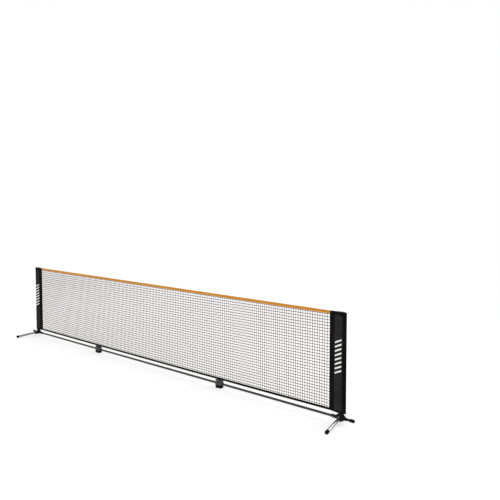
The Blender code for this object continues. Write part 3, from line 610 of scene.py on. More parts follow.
def patch(skin, lengths, heights, low, high, closed=False):
    """A strip of cloth that lies on a skin, thinner at its borders."""
    points = []
    faces = []
    count = len(lengths)
    for lift, thin in ((high, 0.45), (low, 1.0)):
        for row, z in enumerate(heights):
            for column, a in enumerate(lengths):
                border = row in (0, len(heights) - 1) or (not closed and column in (0, count - 1))
                level = low + (high - low) * thin if border and lift == high else lift
                points.append(skin.point(a, z, level))
    layer = count * len(heights)
    last = count if closed else count - 1
    for start in (0, layer):
        for row in range(len(heights) - 1):
            for column in range(last):
                after = (column + 1) % count
                low_row, high_row = start + row * count, start + (row + 1) * count
                faces.append((low_row + column, low_row + after, high_row + after, high_row + column))
    edges = []
    for column in range(last):
        after = (column + 1) % count
        edges.append((column, after))
        edges.append(((len(heights) - 1) * count + after, (len(heights) - 1) * count + column))
    if not closed:
        for row in range(len(heights) - 1):
            edges.append(((row + 1) * count, row * count))
            edges.append((row * count + count - 1, (row + 1) * count + count - 1))
    for first, second in edges:
        faces.append((first, second, layer + second, layer + first))
    return points, faces


def add_shape(store, shape):
    """Appends a shape's points and faces to a list that gathers several."""
    points, faces = store
    first = len(points)
    points += shape[0]
    faces += [tuple(first + index for index in face) for face in shape[1]]


def stitch(start, end, radius, out):
    """One raised stitch, a cord that dives into the cloth at both ends."""
    along = (end - start).normalized()
    side = along.cross(out).normalized()
    points = [start - out * radius, end - out * radius]
    for share, size in ((0.22, 0.9), (0.78, 0.9)):
        middle = start.lerp(end, share) + out * radius * 0.35
        for turn in range(4):
            angle = math.tau * turn / 4.0
            points.append(middle + (side * math.cos(angle) + out * math.sin(angle)) * radius * size)
    faces = []
    for turn in range(4):
        after = (turn + 1) % 4
        faces.append((0, 2 + after, 2 + turn))
        faces.append((2 + turn, 2 + after, 6 + after, 6 + turn))
        faces.append((1, 6 + turn, 6 + after))
    return points, faces


def seam(store, place, start, stop):
    """A row of stitches along a line; place maps a length on the line to a point and its outward way."""
    count = int((stop - start) / STITCH_PITCH)
    for number in range(count):
        first = start + (number + 0.5) * (stop - start) / count - STITCH_LENGTH / 2.0
        here, out = place(first)
        there, _ = place(first + STITCH_LENGTH)
        add_shape(store, stitch(here, there, STITCH_RADIUS, out))


def sleeve_seams(skin):
    store = ([], [])
    bottom, top = SLEEVE_LOW.z + 0.004, SLEEVE_HIGH.z - 0.005
    half = skin.round_length / 2.0
    lines = []
    for inset in (0.0022, 0.0065):
        lines += [BINDING_INNER - inset, -BINDING_INNER + inset]
        lines += [half - BINDING_OUTER + inset, half + BINDING_OUTER - inset]
    for a in lines:
        def upright(z, a=a):
            on = skin.point(a, z, BINDING_THICKNESS)
            return on, (skin.point(a, z, BINDING_THICKNESS + 0.001) - on).normalized()

        seam(store, upright, bottom, top)
    for z in (SLEEVE_HIGH.z - TOP_BAND + 0.0022, SLEEVE_LOW.z + BOTTOM_BAND - 0.0022):
        def level(a, z=z):
            on = skin.point(a, z, 1.7 * BINDING_THICKNESS)
            return on, (skin.point(a, z, 1.7 * BINDING_THICKNESS + 0.001) - on).normalized()

        seam(store, level, 0.004, half - 0.004)
        seam(store, level, half + 0.004, 2.0 * half - 0.004)
    return store


def printed_bars(skin):
    """A plain row of slanted bars, printed on both faces of the sleeve."""
    store = ([], [])
    half = skin.round_length / 2.0
    centre_z = SLEEVE_LOW.z + (SLEEVE_HIGH.z - SLEEVE_LOW.z) * PRINT_CENTRE
    middle_a = (BINDING_INNER + half - BINDING_OUTER) / 2.0
    for face in (1.0, -1.0):
        for number in range(BAR_COUNT):
            z = centre_z + (number - (BAR_COUNT - 1) / 2.0) * BAR_STEP
            columns = levels(-BAR_HALF_WIDTH, BAR_HALF_WIDTH, 0.004)
            points = []
            faces = []
            count = len(columns)
            for lift in (0.00022, -0.0003):
                for edge in (-0.5, -0.25, 0.0, 0.25, 0.5):
                    for column in columns:
                        height = z + column * BAR_SLANT * skin.side * face + edge * BAR_THICKNESS
                        points.append(skin.point(face * (middle_a + column), height, lift))
            layer = count * 5
            for start in (0, layer):
                for row in range(4):
                    for step in range(count - 1):
                        low = start + row * count + step
                        faces.append((low, low + 1, low + count + 1, low + count))
            rim = list(range(count)) + [row * count + count - 1 for row in range(1, 5)]
            rim += [4 * count + step for step in range(count - 2, -1, -1)] + [row * count for row in (3, 2, 1)]
            for first, second in zip(rim, rim[1:] + rim[:1]):
                faces.append((first, second, layer + second, layer + first))
            add_shape(store, (points, faces))
    return store


def build_sleeves():
    for word, side in SIDES:
        skin = SleeveSkin(side)
        half = skin.round_length / 2.0
        heights = levels(SLEEVE_LOW.z + 0.0006, SLEEVE_HIGH.z - 0.0030, 0.010)
        cloth = sleeve_body(word, skin)
        inner = patch(skin, levels(-BINDING_INNER, BINDING_INNER, 0.0035), heights, 0.0001, BINDING_THICKNESS)
        outer_lengths = levels(half - BINDING_OUTER, half + BINDING_OUTER, 0.0035)
        outer = patch(skin, outer_lengths, heights, 0.0001, BINDING_THICKNESS)
        loop = [skin.round_length * step / 112 for step in range(112)]
        lift = (0.8 * BINDING_THICKNESS, 1.7 * BINDING_THICKNESS)
        band_top = levels(SLEEVE_HIGH.z - TOP_BAND, SLEEVE_HIGH.z - 0.0015, 0.006)
        band_low = levels(SLEEVE_LOW.z, SLEEVE_LOW.z + BOTTOM_BAND, 0.006)
        trims = [
            finish_piece(f"sleeve_binding_inner_{word}", *inner, WEBBING, 60.0),
            finish_piece(f"sleeve_binding_outer_{word}", *outer, WEBBING, 60.0),
            finish_piece(f"sleeve_top_band_{word}", *patch(skin, loop, band_top, *lift, True), WEBBING, 60.0),
            finish_piece(f"sleeve_bottom_band_{word}", *patch(skin, loop, band_low, *lift, True), WEBBING, 60.0),
            finish_piece(f"sleeve_stitching_{word}", *sleeve_seams(skin), THREAD, 80.0),
            finish_piece(f"sleeve_print_{word}", *printed_bars(skin), PRINT_INK, 60.0),
        ]
        for item in [cloth] + trims:
            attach(item, f"{word}_upper")
        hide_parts(f"sleeve_{word}")


# ---- Headband and hem ----
TAPE_WALL = 0.0009
TAPE_SECTION = ((-2.3, -25.0), (-2.5, -21.0), (-2.35, -14.0), (-2.1, -7.0), (-1.9, -2.6), (-1.3, -0.8), (-0.5, -0.1))
HEM_SECTION = ((-2.0, -18.0), (-2.2, -14.5), (-2.0, -10.0), (-2.4, -5.0), (-2.9, -1.4), (-2.4, 0.9), (-1.0, 2.1))
MILLIMETRE = 0.001


def folded_outline(section):
    """A strip folded over an edge: its outer line, and its inner one a wall's thickness inside."""
    outer = [(a * MILLIMETRE, b * MILLIMETRE) for a, b in section]
    outer += [(-a, b) for a, b in reversed(outer)]
    inner = []
    for a, b in outer:
        inside = math.copysign(max(abs(a) - TAPE_WALL, 0.0004), a)
        inner.append((inside, min(b, -1.4 * TAPE_WALL - 0.2 * abs(a))))
    return outer + inner[::-1]


def folded_strip(name, side, edge_z, sense, section, material):
    """A strip of cloth folded over the net's edge; sense is 1 at the top and -1 at the bottom."""
    outline = [(a, sense * b) for a, b in folded_outline(section)]
    stations = []
    for x in fine_steps(0.0, NET_EDGE + 0.0015):
        calm = 1.0 if x < NET_EDGE - 0.03 else 0.0
        rise = 0.0007 * noise.noise(Vector((side * x * 2.6, 4.0 * sense, 0.0))) * calm - sense * 0.0006
        swell = 0.0004 * noise.noise(Vector((side * x * 9.0, 8.0 * sense, 2.0)))

        def station(a, b, x=x, rise=rise, swell=swell):
            z = edge_z + b + rise + sag(x, edge_z)
            full = math.copysign(swell * min(1.0, abs(a) / 0.0015), a) if a else 0.0
            return Vector((side * x, NET_Y + drift(side * x, z) + a + full, z))

        stations.append(station)
    return finish_piece(name, *sweep(stations, outline), material, 50.0, True)


def tape_seam(name, side, edge_z, depth, sense, half_thickness):
    """Two rows of stitches through a folded strip, one on each face."""
    store = ([], [])
    z = edge_z - sense * depth
    for face in (-1.0, 1.0):
        out = Vector((0.0, face, 0.0))

        def along(x, face=face, out=out):
            across = drift(side * x, z) + face * half_thickness
            return Vector((side * x, NET_Y + across, z + sag(x, edge_z))), out

        seam(store, along, 0.004, NET_EDGE - 0.004)
    return finish_piece(name, *store, THREAD if sense < 0 else TAPE_THREAD, 80.0, True)


def build_net():
    for word, side in SIDES:
        netting = netting_half(word, side)
        tape = folded_strip(f"headband_{word}", side, TAPE_HIGH.z, 1.0, TAPE_SECTION, TAPE_CLOTH)
        hem = folded_strip(f"hem_{word}", side, HEM_LOW.z, -1.0, HEM_SECTION, HEM_CLOTH)
        seams = [
            tape_seam(f"headband_stitching_{word}", side, TAPE_HIGH.z, 0.0222, 1.0, 0.0026),
            tape_seam(f"hem_stitching_{word}", side, HEM_LOW.z, 0.0118, -1.0, 0.0021),
        ]
        for item in [netting, tape, hem] + seams:
            cross_fold(item)
        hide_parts(f"netting_{word}", "netting_middle")
        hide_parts(f"top_tape_{word}", "top_tape_middle")
        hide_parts(f"bottom_hem_{word}", "bottom_hem_middle")


# ---- Tubes and mouldings ----
HINGE_OFFSET = abs(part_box("hinge_pin_right")[0].lerp(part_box("hinge_pin_right")[1], 0.5).y - NET_Y)
BAR_RADIUS = (BAR_HIGH.z - BAR_LOW.z) / 2.0
POST_RADIUS = (POST_HIGH.x - POST_LOW.x) / 2.0
WALL = 0.0012
SEAM_GAP = 0.0003


def turned(profile, start, direction, sides=ROUND):
    """Points and faces of a profile of (radius, distance) turned about a line; radius 0 closes an end."""
    axis = Vector(direction).normalized()
    turn = UP.rotation_difference(axis).to_matrix()
    points = []
    rings = []
    for radius, distance in profile:
        count = sides if radius > 0.0 else 1
        rings.append([len(points) + step for step in range(count)])
        for step in range(count):
            angle = math.tau * (step + 0.5) / sides
            spoke = Vector((radius * math.cos(angle), radius * math.sin(angle), distance))
            points.append(Vector(start) + turn @ spoke)
    pairs = list(zip(rings, rings[1:]))
    if profile[0][0] > 0.0:
        pairs.append((rings[-1], rings[0]))
    faces = []
    for lower, upper in pairs:
        for step in range(sides):
            after = (step + 1) % sides
            corners = [lower[step % len(lower)], lower[after % len(lower)]]
            corners += [upper[after % len(upper)], upper[step % len(upper)]]
            unique = tuple(dict.fromkeys(corners))
            if len(unique) > 2:
                faces.append(unique)
    return points, faces


def tube_profile(radius, start, end, wall=WALL, edge=0.0004):
    inner = radius - wall
    return [
        (radius, start + edge),
        (radius, end - edge),
        (radius - edge, end),
        (inner, end),
        (inner, start),
        (radius - edge, start),
    ]


def block(low, high):
    corners = [Vector((x, y, z)) for z in (low[2], high[2]) for y in (low[1], high[1]) for x in (low[0], high[0])]
    faces = [(0, 2, 3, 1), (4, 5, 7, 6), (0, 1, 5, 4), (2, 6, 7, 3), (0, 4, 6, 2), (1, 3, 7, 5)]
    return corners, faces


def between(first, second):
    """A block between any two opposite corners."""
    low = [min(a, b) for a, b in zip(first, second)]
    return block(low, [max(a, b) for a, b in zip(first, second)])


def extruded(outline, low, high, axis):
    """An outline of (a, b) points carried along one axis."""
    order = {"X": (2, 0, 1), "Y": (0, 2, 1), "Z": (0, 1, 2)}[axis]
    points = []
    for level in (low, high):
        points += [Vector([(a, b, level)[index] for index in order]) for a, b in outline]
    count = len(outline)
    faces = [tuple(range(count)), tuple(range(count, 2 * count))]
    for step in range(count):
        after = (step + 1) % count
        faces.append((step, after, count + after, count + step))
    return points, faces


def apply_modifiers(item):
    """Swaps an item's mesh for the one that its modifiers make."""
    bpy.context.view_layer.update()
    made = bpy.data.meshes.new_from_object(item.evaluated_get(bpy.context.evaluated_depsgraph_get()))
    item.modifiers.clear()
    item.data = made


def rounded(item, width, segments=4, degrees=50.0):
    modifier = item.modifiers.new("round", "BEVEL")
    modifier.width = width
    modifier.segments = segments
    modifier.limit_method = "ANGLE"
    modifier.angle_limit = math.radians(degrees)
    apply_modifiers(item)


def carve(item, added, removed, edge=0.0):
    """Joins shapes to an item, cuts others from it, and rounds the edges that leaves."""
    tools = []
    for shapes, operation in ((added, "UNION"), (removed, "DIFFERENCE")):
        for shape in shapes:
            helper = finish_piece(f"{item.name}_tool", *shape, PLASTIC)
            modifier = item.modifiers.new("cut", "BOOLEAN")
            modifier.operation = operation
            modifier.solver = "EXACT"
            modifier.object = helper
            tools.append(helper)
    apply_modifiers(item)
    for helper in tools:
        bpy.data.objects.remove(helper, do_unlink=True)
    if edge:
        modifier = item.modifiers.new("edges", "BEVEL")
        modifier.width = edge
        modifier.segments = 2
        modifier.limit_method = "ANGLE"
        modifier.angle_limit = math.radians(38.0)
        modifier.use_clamp_overlap = True
        apply_modifiers(item)
    item.data.shade_smooth()
    item.data.set_sharp_from_angle(angle=math.radians(35.0))


def fit(item, body, slot, *nodes):
    """Puts an item on its body in place of the CAD nodes it stands for."""
    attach(item, body)
    if nodes:
        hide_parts(*nodes)


def screw(name, place, out, radius, body):
    """A countersunk cross-head screw's head, a hair proud of its face."""
    profile = [(0.0, -0.001), (radius, -0.001), (radius, 0.0002), (radius * 0.9, 0.0006), (0.0, 0.0009)]
    item = finish_piece(name, *turned(profile, place, out, 24), STEEL, 30.0)
    across = Vector((1.0, 0.0, 0.0)) if abs(Vector(out).x) < 0.5 else Vector((0.0, 1.0, 0.0))
    upright = Vector(out).cross(across)
    slots = []
    for first, second in ((across, upright), (upright, across)):
        long_half, thin_half = first * radius * 0.55, second * radius * 0.14
        reach = Vector(out) * 0.004
        base = Vector(place) - Vector(out) * 0.0002
        corners = [base + a * long_half + b * thin_half for a, b in ((-1, -1), (1, -1), (1, 1), (-1, 1))]
        faces = [(0, 1, 2, 3), (4, 5, 6, 7), (0, 1, 5, 4), (1, 2, 6, 5), (2, 3, 7, 6), (3, 0, 4, 7)]
        slots.append((corners + [corner + reach for corner in corners], faces))
    carve(item, [], slots)
    fit(item, body, "steel")
    return item


def net_point(x, across, z):
    return Vector((x, NET_Y + across, z))


def build_bars():
    for word, body in (("middle", "root"), ("left", "left_end"), ("right", "right_end")):
        low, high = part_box(f"crossbar_{word}")
        start = Vector((low.x, NET_Y, BAR_Z))
        profile = tube_profile(BAR_RADIUS, 0.0, high.x - low.x)
        bar = finish_piece(f"bar_tube_{word}", *turned(profile, start, (1, 0, 0)), GREY, 30.0)
        fit(bar, body, "grey_tube", f"crossbar_{word}")


def ribbed_cap(name, start, along, radius, length, bore, depth, body, node):
    """A rubber cap with ribs round its skirt and a soft domed end."""
    profile = [(0.0, depth), (bore, depth), (bore, 0.0), (radius - 0.0008, 0.0), (radius, 0.0008)]
    rib = (length - 0.012) / 4.0
    for number in range(1, 4):
        middle = 0.002 + number * rib
        profile += [(radius, middle - 0.0016), (radius - 0.0009, middle - 0.0009)]
        profile += [(radius - 0.0009, middle + 0.0009), (radius, middle + 0.0016)]
    dome = 0.0035
    for step in range(6):
        angle = math.pi / 2.0 * step / 5.0
        profile.append((radius - dome + dome * math.cos(angle), length - dome + dome * math.sin(angle)))
    profile += [(radius * 0.55, length), (radius * 0.5, length - 0.0007), (0.0, length - 0.0007)]
    cap = finish_piece(name, *turned(profile, start, along), RUBBER, 32.0)
    fit(cap, body, "black_rubber", node)


def leg_ways(side):
    """A front leg's pivot and its direction, from the middles of its tube's two ends."""
    low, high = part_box(f"leg_tube_{'right' if side > 0 else 'left'}")
    bolt_low, bolt_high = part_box(f"pivot_bolt_{'right' if side > 0 else 'left'}")
    pivot = Vector(((bolt_low.x + bolt_high.x) / 2.0, (bolt_low.y + bolt_high.y) / 2.0, BAR_Z))
    cap_radius = 0.0160
    length = 0.250
    slope = math.asin((BAR_Z - cap_radius) / length)
    splay = math.radians(11.0)
    flat = math.cos(slope)
    along = Vector((side * math.sin(splay) * flat, -math.cos(splay) * flat, -math.sin(slope)))
    return pivot, along, length, cap_radius


def build_feet():
    """Outriggers and front legs with their caps."""
    for word, side in SIDES:
        end = f"{word}_end"
        out = Vector((side, 0.0, 0.0))
        centre = net_point(side * POST_X, 0.0, BAR_Z)
        profile = tube_profile(BAR_RADIUS, 0.022, 0.108)
        stub = finish_piece(f"stub_tube_{word}", *turned(profile, centre, out), BLACK, 30.0)
        fit(stub, end, "grey_tube", f"outrigger_{word}")
        cap_start = centre + out * 0.084
        bore = BAR_RADIUS + SEAM_GAP
        ribbed_cap(f"stub_cap_{word}", cap_start, out, 0.0138, 0.038, bore, 0.0243, end, f"outrigger_cap_{word}")
        pivot, along, length, cap_radius = leg_ways(side)
        profile = tube_profile(0.0140, 0.0188, length - 0.0033)
        leg = finish_piece(f"front_leg_{word}", *turned(profile, pivot, along), SILVER, 30.0)
        fit(leg, f"leg_{word}", "silver_tube", f"leg_tube_{word}")
        foot = pivot + along * (length - 0.026)
        bore = 0.0143
        ribbed_cap(f"front_cap_{word}", foot, along, cap_radius, 0.026, bore, 0.023, f"leg_{word}", f"leg_cap_{word}")


def build_posts():
    """Lower posts with their real snap-button holes."""
    for word, side in SIDES:
        foot = net_point(side * POST_X, 0.0, 0.0)
        profile = tube_profile(POST_RADIUS, POST_LOW.z, POST_HIGH.z, 0.0013)
        post = finish_piece(f"post_tube_{word}", *turned(profile, foot, UP), GREY, 30.0)
        holes = []
        for height in (0.145, 0.575, 0.780):
            inside = net_point(side * (POST_X + POST_RADIUS / 2.0), 0.0, height)
            holes.append(turned([(0.0, 0.0), (0.0037, 0.0), (0.0037, 0.02), (0.0, 0.02)], inside, (side, 0, 0), 24))
        carve(post, [], holes)
        fit(post, f"{word}_end", "grey_tube", f"lower_post_{word}")


KNUCKLE_HALF = 0.036
KNUCKLE_SIDE = 0.023
KNUCKLE_TOP = 0.082
BARRELS = (0.006, 0.028, 0.054, 0.076)
BARREL_RADIUS = 0.0100
PIN_HOLE = 0.0043
PANEL_DEPTH = 0.0014
BUTTON_X = 0.018
FOOT_HEIGHT = 0.030  # the rubber overmoulded on a knuckle's lower part
BUTTON_Z = BAR_Z + BAR_RADIUS + 0.0085 + 0.0055


def knuckle(word, side, inner):
    """One half of a folding knuckle: panelled faces, a lipped tube socket, hinge barrels and screws."""
    rear = -side
    hinge = side * FOLD_X
    reach = -side if inner else side
    kind = "inner" if inner else "outer"
    body = "root" if inner else f"{word}_end"
    low = (hinge + reach * SEAM_GAP, NET_Y - KNUCKLE_SIDE, 0.0)
    high = (hinge + reach * KNUCKLE_HALF, NET_Y + KNUCKLE_SIDE, KNUCKLE_TOP)
    item = finish_piece(f"knuckle_{kind}_shell_{word}", *between(low, high), PLASTIC)
    rounded(item, 0.007, 5)
    mouth = net_point(hinge, 0.0, BAR_Z)
    way = Vector((reach, 0.0, 0.0))
    sleeve = [(0.0, 0.024), (0.0147, 0.024), (0.0147, 0.0445), (0.0155, 0.0455), (0.0155, 0.0485), (0.0150, 0.049), (0.0, 0.049)]
    added = [turned(sleeve, mouth, way)]
    spans = list(zip(BARRELS, BARRELS[1:]))
    mine = [spans[0], spans[2]] if inner else [spans[1]]
    others = [spans[1]] if inner else [spans[0], spans[2]]
    line = net_point(hinge, rear * HINGE_OFFSET, 0.0)
    for start, stop in mine:
        start, stop = start + SEAM_GAP, stop - SEAM_GAP
        soft = [(0.0, start), (BARREL_RADIUS - 0.0008, start), (BARREL_RADIUS, start + 0.0008)]
        soft += [(BARREL_RADIUS, stop - 0.0008), (BARREL_RADIUS - 0.0008, stop), (0.0, stop)]
        added.append(turned(soft, line, UP))
        root, crest = NET_Y + rear * (HINGE_OFFSET - 0.012), NET_Y + rear * (HINGE_OFFSET + 0.001)
        wedge = [(0.003, root), (0.026, root), (0.023, root + rear * 0.0075), (0.010, crest), (0.003, crest)]
        wedge = [(hinge + reach * along, across) for along, across in wedge]
        added.append(extruded(wedge, start + 0.0004, stop - 0.0004, "Z"))
    removed = []
    for start, stop in others:
        radius = BARREL_RADIUS + 3.0 * SEAM_GAP
        gap = [(0.0, start - SEAM_GAP), (radius, start - SEAM_GAP), (radius, stop + SEAM_GAP), (0.0, stop + SEAM_GAP)]
        removed.append(turned(gap, line, UP))
    removed.append(turned([(0.0, -0.01), (PIN_HOLE, -0.01), (PIN_HOLE, 0.1), (0.0, 0.1)], line, UP, 24))
    bore = BAR_RADIUS + SEAM_GAP
    removed.append(turned([(0.0, 0.0137), (bore, 0.0137), (bore, 0.07), (0.0, 0.07)], mouth, way))
    face = -rear * KNUCKLE_SIDE
    if inner:
        ring = net_point(hinge + reach * BUTTON_X, face, BUTTON_Z)
        out = Vector((0.0, -rear, 0.0))
        removed.append(turned([(0.0, -0.008), (0.0088, -0.008), (0.0088, 0.01), (0.0, 0.01)], ring, out))
    removed += knuckle_panels(hinge, reach, face, inner)
    carve(item, added, removed, 0.00035)
    dip_in_rubber(item)
    fit(item, body, "black_plastic", f"knuckle_{kind}_{word}")
    spots = [(0.010, 0.010), (0.026, 0.010)]
    if not inner:
        spots.append((0.026, KNUCKLE_TOP - 0.010))
    for number, (along, z) in enumerate(spots, 1):
        place = net_point(hinge + reach * along, face, z)
        screw(f"knuckle_{kind}_screw_{word}_{number}", place, (0.0, -rear, 0.0), 0.0026, body)


def dip_in_rubber(item):
    """Gives the lower part of a knuckle the finish of its rubber foot."""
    item.data.materials.clear()
    # The upper part gets the paler plastic, which is a painted highlight.
    item.data.materials.append(KNUCKLE_PLASTIC_PAINTED_HIGHLIGHT)
    item.data.materials.append(RUBBER)
    bm = bmesh.new()
    bm.from_mesh(item.data)
    everything = bm.verts[:] + bm.edges[:] + bm.faces[:]
    bmesh.ops.bisect_plane(bm, geom=everything, plane_co=(0.0, 0.0, FOOT_HEIGHT), plane_no=UP)
    for face in bm.faces:
        face.material_index = 1 if face.calc_center_median().z < FOOT_HEIGHT else 0
    bm.to_mesh(item.data)
    bm.free()
    item.data.set_sharp_from_angle(angle=math.radians(35.0))


def knuckle_panels(hinge, reach, face, inner):
    """Shallow pockets in the moulding's plain face and top, with ribs left between them."""
    cuts = []
    out = math.copysign(1.0, face)
    inside, outside = face - out * PANEL_DEPTH, face + out * 0.01
    for number in range(4):
        start = 0.0065 + number * 0.0060
        low = net_point(hinge + reach * start, inside, 0.0165)
        high = net_point(hinge + reach * (start + 0.0040), outside, 0.0400)
        cuts.append(between(low, high))
    if not inner:
        low = net_point(hinge + reach * 0.0065, inside, 0.048)
        high = net_point(hinge + reach * 0.0285, outside, 0.066)
        cuts.append(between(low, high))
    for number in range(3):
        across = -0.0120 + number * 0.0090
        low = net_point(hinge + reach * 0.009, across, KNUCKLE_TOP - PANEL_DEPTH)
        high = net_point(hinge + reach * 0.028, across + 0.0055, KNUCKLE_TOP + 0.01)
        cuts.append(between(low, high))
    return cuts


def build_knuckles():
    for word, side in SIDES:
        knuckle(word, side, True)
        knuckle(word, side, False)
        rear = -side
        place = net_point(side * (FOLD_X - BUTTON_X), -rear * KNUCKLE_SIDE, BUTTON_Z)
        profile = [(0.0, -0.0027), (0.0085, -0.0027), (0.0085, 0.0045), (0.0081, 0.0055), (0.0072, 0.006)]
        profile += [(0.0060, 0.006), (0.0052, 0.0054), (0.0030, 0.0050), (0.0, 0.0049)]
        button = finish_piece(f"latch_button_{word}", *turned(profile, place, (0.0, -rear, 0.0)), PLASTIC, 30.0)
        fit(button, f"button_{word}", "black_plastic", f"release_button_{word}")
        line = net_point(side * FOLD_X, rear * HINGE_OFFSET, 0.0)
        low, high = BARRELS[0] - SEAM_GAP, BARRELS[-1] + SEAM_GAP
        profile = [(0.0, low - 0.0025), (0.006, low - 0.0025), (0.007, low - 0.0018), (0.007, low), (0.004, low)]
        profile += [(0.004, high), (0.007, high), (0.007, high + 0.0012), (0.0058, high + 0.0022)]
        profile += [(0.003, high + 0.0025), (0.0, high + 0.0025)]
        pin = finish_piece(f"knuckle_pin_{word}", *turned(profile, line, UP), STEEL, 32.0)
        fit(pin, "root", "steel", f"hinge_pin_{word}")


HUB_HALF = 0.024
HUB_RISE = 0.021
LUG_GAP = 0.0250
LUG_THICKNESS = 0.0055
LUG_RADIUS = 0.013
PIVOT_OFFSET = 0.040


def end_hub(word, side):
    """The corner moulding: lipped sockets for bar, stub and post, gussets, panels and lugs."""
    x = side * POST_X
    centre = net_point(x, 0.0, BAR_Z)
    out = Vector((side, 0.0, 0.0))
    low = net_point(x - HUB_HALF, -HUB_HALF, BAR_Z - HUB_RISE)
    high = net_point(x + HUB_HALF, HUB_HALF, BAR_Z + HUB_RISE)
    item = finish_piece(f"hub_shell_{word}", *between(low, high), PLASTIC)
    rounded(item, 0.005, 4)
    bar = [(0.0, 0.011), (0.0150, 0.011), (0.0150, 0.084), (0.0160, 0.0855), (0.0160, 0.0893), (0.0153, 0.090), (0.0, 0.090)]
    stub = [(0.0, 0.009), (0.0144, 0.009), (0.0144, 0.0415), (0.0152, 0.0425), (0.0152, 0.0455), (0.0147, 0.046), (0.0, 0.046)]
    post = [(0.0, 0.007), (0.0170, 0.007), (0.0170, 0.0565), (0.0178, 0.0578), (0.0178, 0.0613), (0.0171, 0.062), (0.0, 0.062)]
    added = [turned(bar, centre, -out), turned(stub, centre, out), turned(post, centre, UP)]
    foot, peak = BAR_Z + 0.010, BAR_Z + 0.050
    outline = [(x - side * 0.060, foot), (x + side * 0.040, foot), (x + side * 0.006, peak), (x - side * 0.006, peak)]
    added.append(extruded(outline, NET_Y - 0.0034, NET_Y + 0.0034, "Y"))
    rim = [(x - side * 0.060, foot + 0.0002), (x - side * 0.0565, foot), (x - side * 0.008, peak - 0.0037), (x - side * 0.006, peak)]
    added.append(extruded(rim, NET_Y - 0.0052, NET_Y + 0.0052, "Y"))
    rim = [(x + side * 0.040, foot + 0.0002), (x + side * 0.0365, foot), (x + side * 0.008, peak - 0.0037), (x + side * 0.006, peak)]
    added.append(extruded(rim, NET_Y - 0.0052, NET_Y + 0.0052, "Y"))
    for sign in (1.0, -1.0):
        near = BAR_Z + sign * LUG_GAP / 2.0
        far = near + sign * LUG_THICKNESS
        lug_y = NET_Y - PIVOT_OFFSET
        outline = [(x + LUG_RADIUS, NET_Y - HUB_HALF + 0.008), (x - LUG_RADIUS, NET_Y - HUB_HALF + 0.008)]
        for step in range(25):
            angle = math.pi + math.pi * step / 24.0
            outline.append((x + LUG_RADIUS * math.cos(angle), lug_y + LUG_RADIUS * math.sin(angle)))
        added.append(extruded(outline, min(near, far), max(near, far), "Z"))
    removed = [
        turned([(0.0, -0.0103), (0.0143, -0.0103), (0.0143, 0.08), (0.0, 0.08)], centre, UP),
        turned([(0.0, 0.0217), (0.0113, 0.0217), (0.0113, 0.11), (0.0, 0.11)], centre, -out),
        turned([(0.0, 0.0217), (0.0113, 0.0217), (0.0113, 0.11), (0.0, 0.11)], centre, out),
    ]
    pivot = net_point(x, -PIVOT_OFFSET, BAR_Z)
    removed.append(turned([(0.0, -0.07), (PIN_HOLE, -0.07), (PIN_HOLE, 0.07), (0.0, 0.07)], pivot, UP, 24))
    for number in range(4):
        start = -0.0165 + number * 0.0090
        low = net_point(x + start, HUB_HALF - PANEL_DEPTH, BAR_Z - 0.014)
        high = net_point(x + start + 0.0060, HUB_HALF + 0.01, BAR_Z + 0.014)
        removed.append(between(low, high))
    carve(item, added, removed, 0.00035)
    fit(item, f"{word}_end", "black_plastic", f"hub_{word}")
    for number, reach in enumerate((0.030, 0.074), 1):
        place = centre - out * reach + Vector((0.0, -0.0150, 0.0))
        rivet = [(0.0, -0.003), (0.0032, -0.003), (0.0032, 0.0004), (0.0026, 0.0011), (0.0012, 0.0015), (0.0, 0.0016)]
        stud = finish_piece(f"hub_rivet_{word}_{number}", *turned(rivet, place, (0, -1, 0), 24), STEEL, 32.0)
        fit(stud, f"{word}_end", "steel")


def leg_mount(word, side):
    """The front leg's root with its flange, and the pivot bolt with washer and nut."""
    pivot, along, _, _ = leg_ways(side)
    half = 0.0118
    eye = [(0.0, -half), (0.0112, -half), (0.0120, -half + 0.0008), (0.0120, half - 0.0008), (0.0112, half), (0.0, half)]
    item = finish_piece(f"leg_root_shell_{word}", *turned(eye, pivot, UP), PLASTIC)
    plug = [(0.0, 0.0), (0.0100, 0.0), (0.0100, 0.0160), (0.0136, 0.0160), (0.0140, 0.0164), (0.0140, 0.0185)]
    plug += [(0.0125, 0.0185), (0.0125, 0.042), (0.0, 0.042)]
    hole = [(0.0, -0.03), (PIN_HOLE, -0.03), (PIN_HOLE, 0.03), (0.0, 0.03)]
    carve(item, [turned(plug, pivot, along)], [turned(hole, pivot, UP, 24)], 0.0003)
    fit(item, f"leg_{word}", "black_plastic", f"leg_root_{word}")
    reach = LUG_GAP / 2.0 + LUG_THICKNESS + SEAM_GAP
    bolt = [(0.0, -reach - 0.0050), (0.0034, -reach - 0.0050), (0.004, -reach - 0.0044), (0.004, reach)]
    bolt += [(0.0078, reach), (0.0078, reach + 0.0010), (0.0070, reach + 0.0028), (0.0045, reach + 0.0040)]
    bolt += [(0.0, reach + 0.0042)]
    item = finish_piece(f"leg_bolt_{word}", *turned(bolt, pivot, UP), STEEL, 28.0)
    nut = [(0.0, -reach - 0.0040), (0.0066, -reach - 0.0040), (0.0075, -reach - 0.0034), (0.0075, -reach), (0.0, -reach)]
    carve(item, [turned(nut, pivot, UP, 6)], [])
    fit(item, f"{word}_end", "steel", f"pivot_bolt_{word}")


def build_hardware():
    build_bars()
    build_feet()
    build_posts()
    build_knuckles()
    for word, side in SIDES:
        end_hub(word, side)
        leg_mount(word, side)


# ---- Light, floor and camera ----
CAMERA_YAW = math.radians(41.6)
CAMERA_PITCH = math.radians(3.35)
CAMERA_FROM_BAR = (1.05, -6.39, 1.78)  # right, back and up from the middle of the crossbar
CAMERA_LENS = 43.2
CAMERA_SHIFT = -0.031


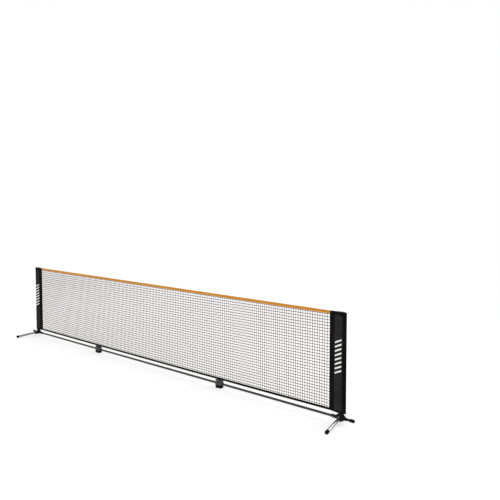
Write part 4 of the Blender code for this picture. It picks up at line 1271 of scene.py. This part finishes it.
def build_camera():
    data = bpy.data.cameras.new("camera")
    data.lens = CAMERA_LENS
    data.sensor_width = 36.0
    data.shift_y = CAMERA_SHIFT
    camera = bpy.data.objects.new("camera", data)
    bpy.context.scene.collection.objects.link(camera)
    right, back, up = CAMERA_FROM_BAR
    turn = Matrix.Rotation(CAMERA_YAW, 3, "Z")
    camera.location = Vector((0.0, NET_Y, BAR_Z)) + turn @ Vector((right, back, up))
    camera.rotation_euler = (math.radians(90.0) - CAMERA_PITCH, 0.0, CAMERA_YAW)
    bpy.context.scene.camera = camera


def soft_light(name, place, target, size, power):
    data = bpy.data.lights.new(name, "AREA")
    data.shape = "RECTANGLE"
    data.size, data.size_y = size
    data.energy = power
    lamp = bpy.data.objects.new(name, data)
    bpy.context.scene.collection.objects.link(lamp)
    lamp.location = place
    lamp.rotation_euler = (Vector(target) - Vector(place)).to_track_quat("-Z", "Y").to_euler()


def build_studio():
    bpy.ops.mesh.primitive_grid_add(x_subdivisions=40, y_subdivisions=40, size=120.0, location=(0.0, 0.0, 0.0))
    floor = bpy.context.object
    floor.name = "floor"
    floor.data.materials.append(floor_finish("floor_finish"))
    world = bpy.data.worlds.new("studio")
    bpy.context.scene.world = world
    world.use_nodes = True
    background = world.node_tree.nodes["Background"]
    background.inputs["Color"].default_value = (1.0, 1.0, 1.0, 1.0)
    background.inputs["Strength"].default_value = 1.0
    soft_light("key_light", (2.5, -4.5, 4.5), (0.5, 0.0, 0.4), (5.0, 2.5), 70.0)
    soft_light("fill_light", (-4.5, 3.0, 3.5), (0.0, 0.0, 0.4), (4.0, 2.0), 30.0)
    soft_light("near_foot_light", (2.9, 3.2, 2.5), (2.4, -0.1, 0.0), (0.9, 0.5), 45.0)
    bpy.context.scene.view_settings.view_transform = "Standard"


def dress_cad_nodes():
    """Gives each CAD node that still shows the detailed material of its slot."""
    slots = {row["node"]: row["material_slot"] for row in frame["record"]["subparts"]}
    for name, item in frame["nodes"].items():
        item.data.materials.clear()
        item.data.materials.append(CAD_FINISHES[slots[name]])


build_camera()
build_studio()
dress_cad_nodes()
build_net()
build_sleeves()
build_hardware()
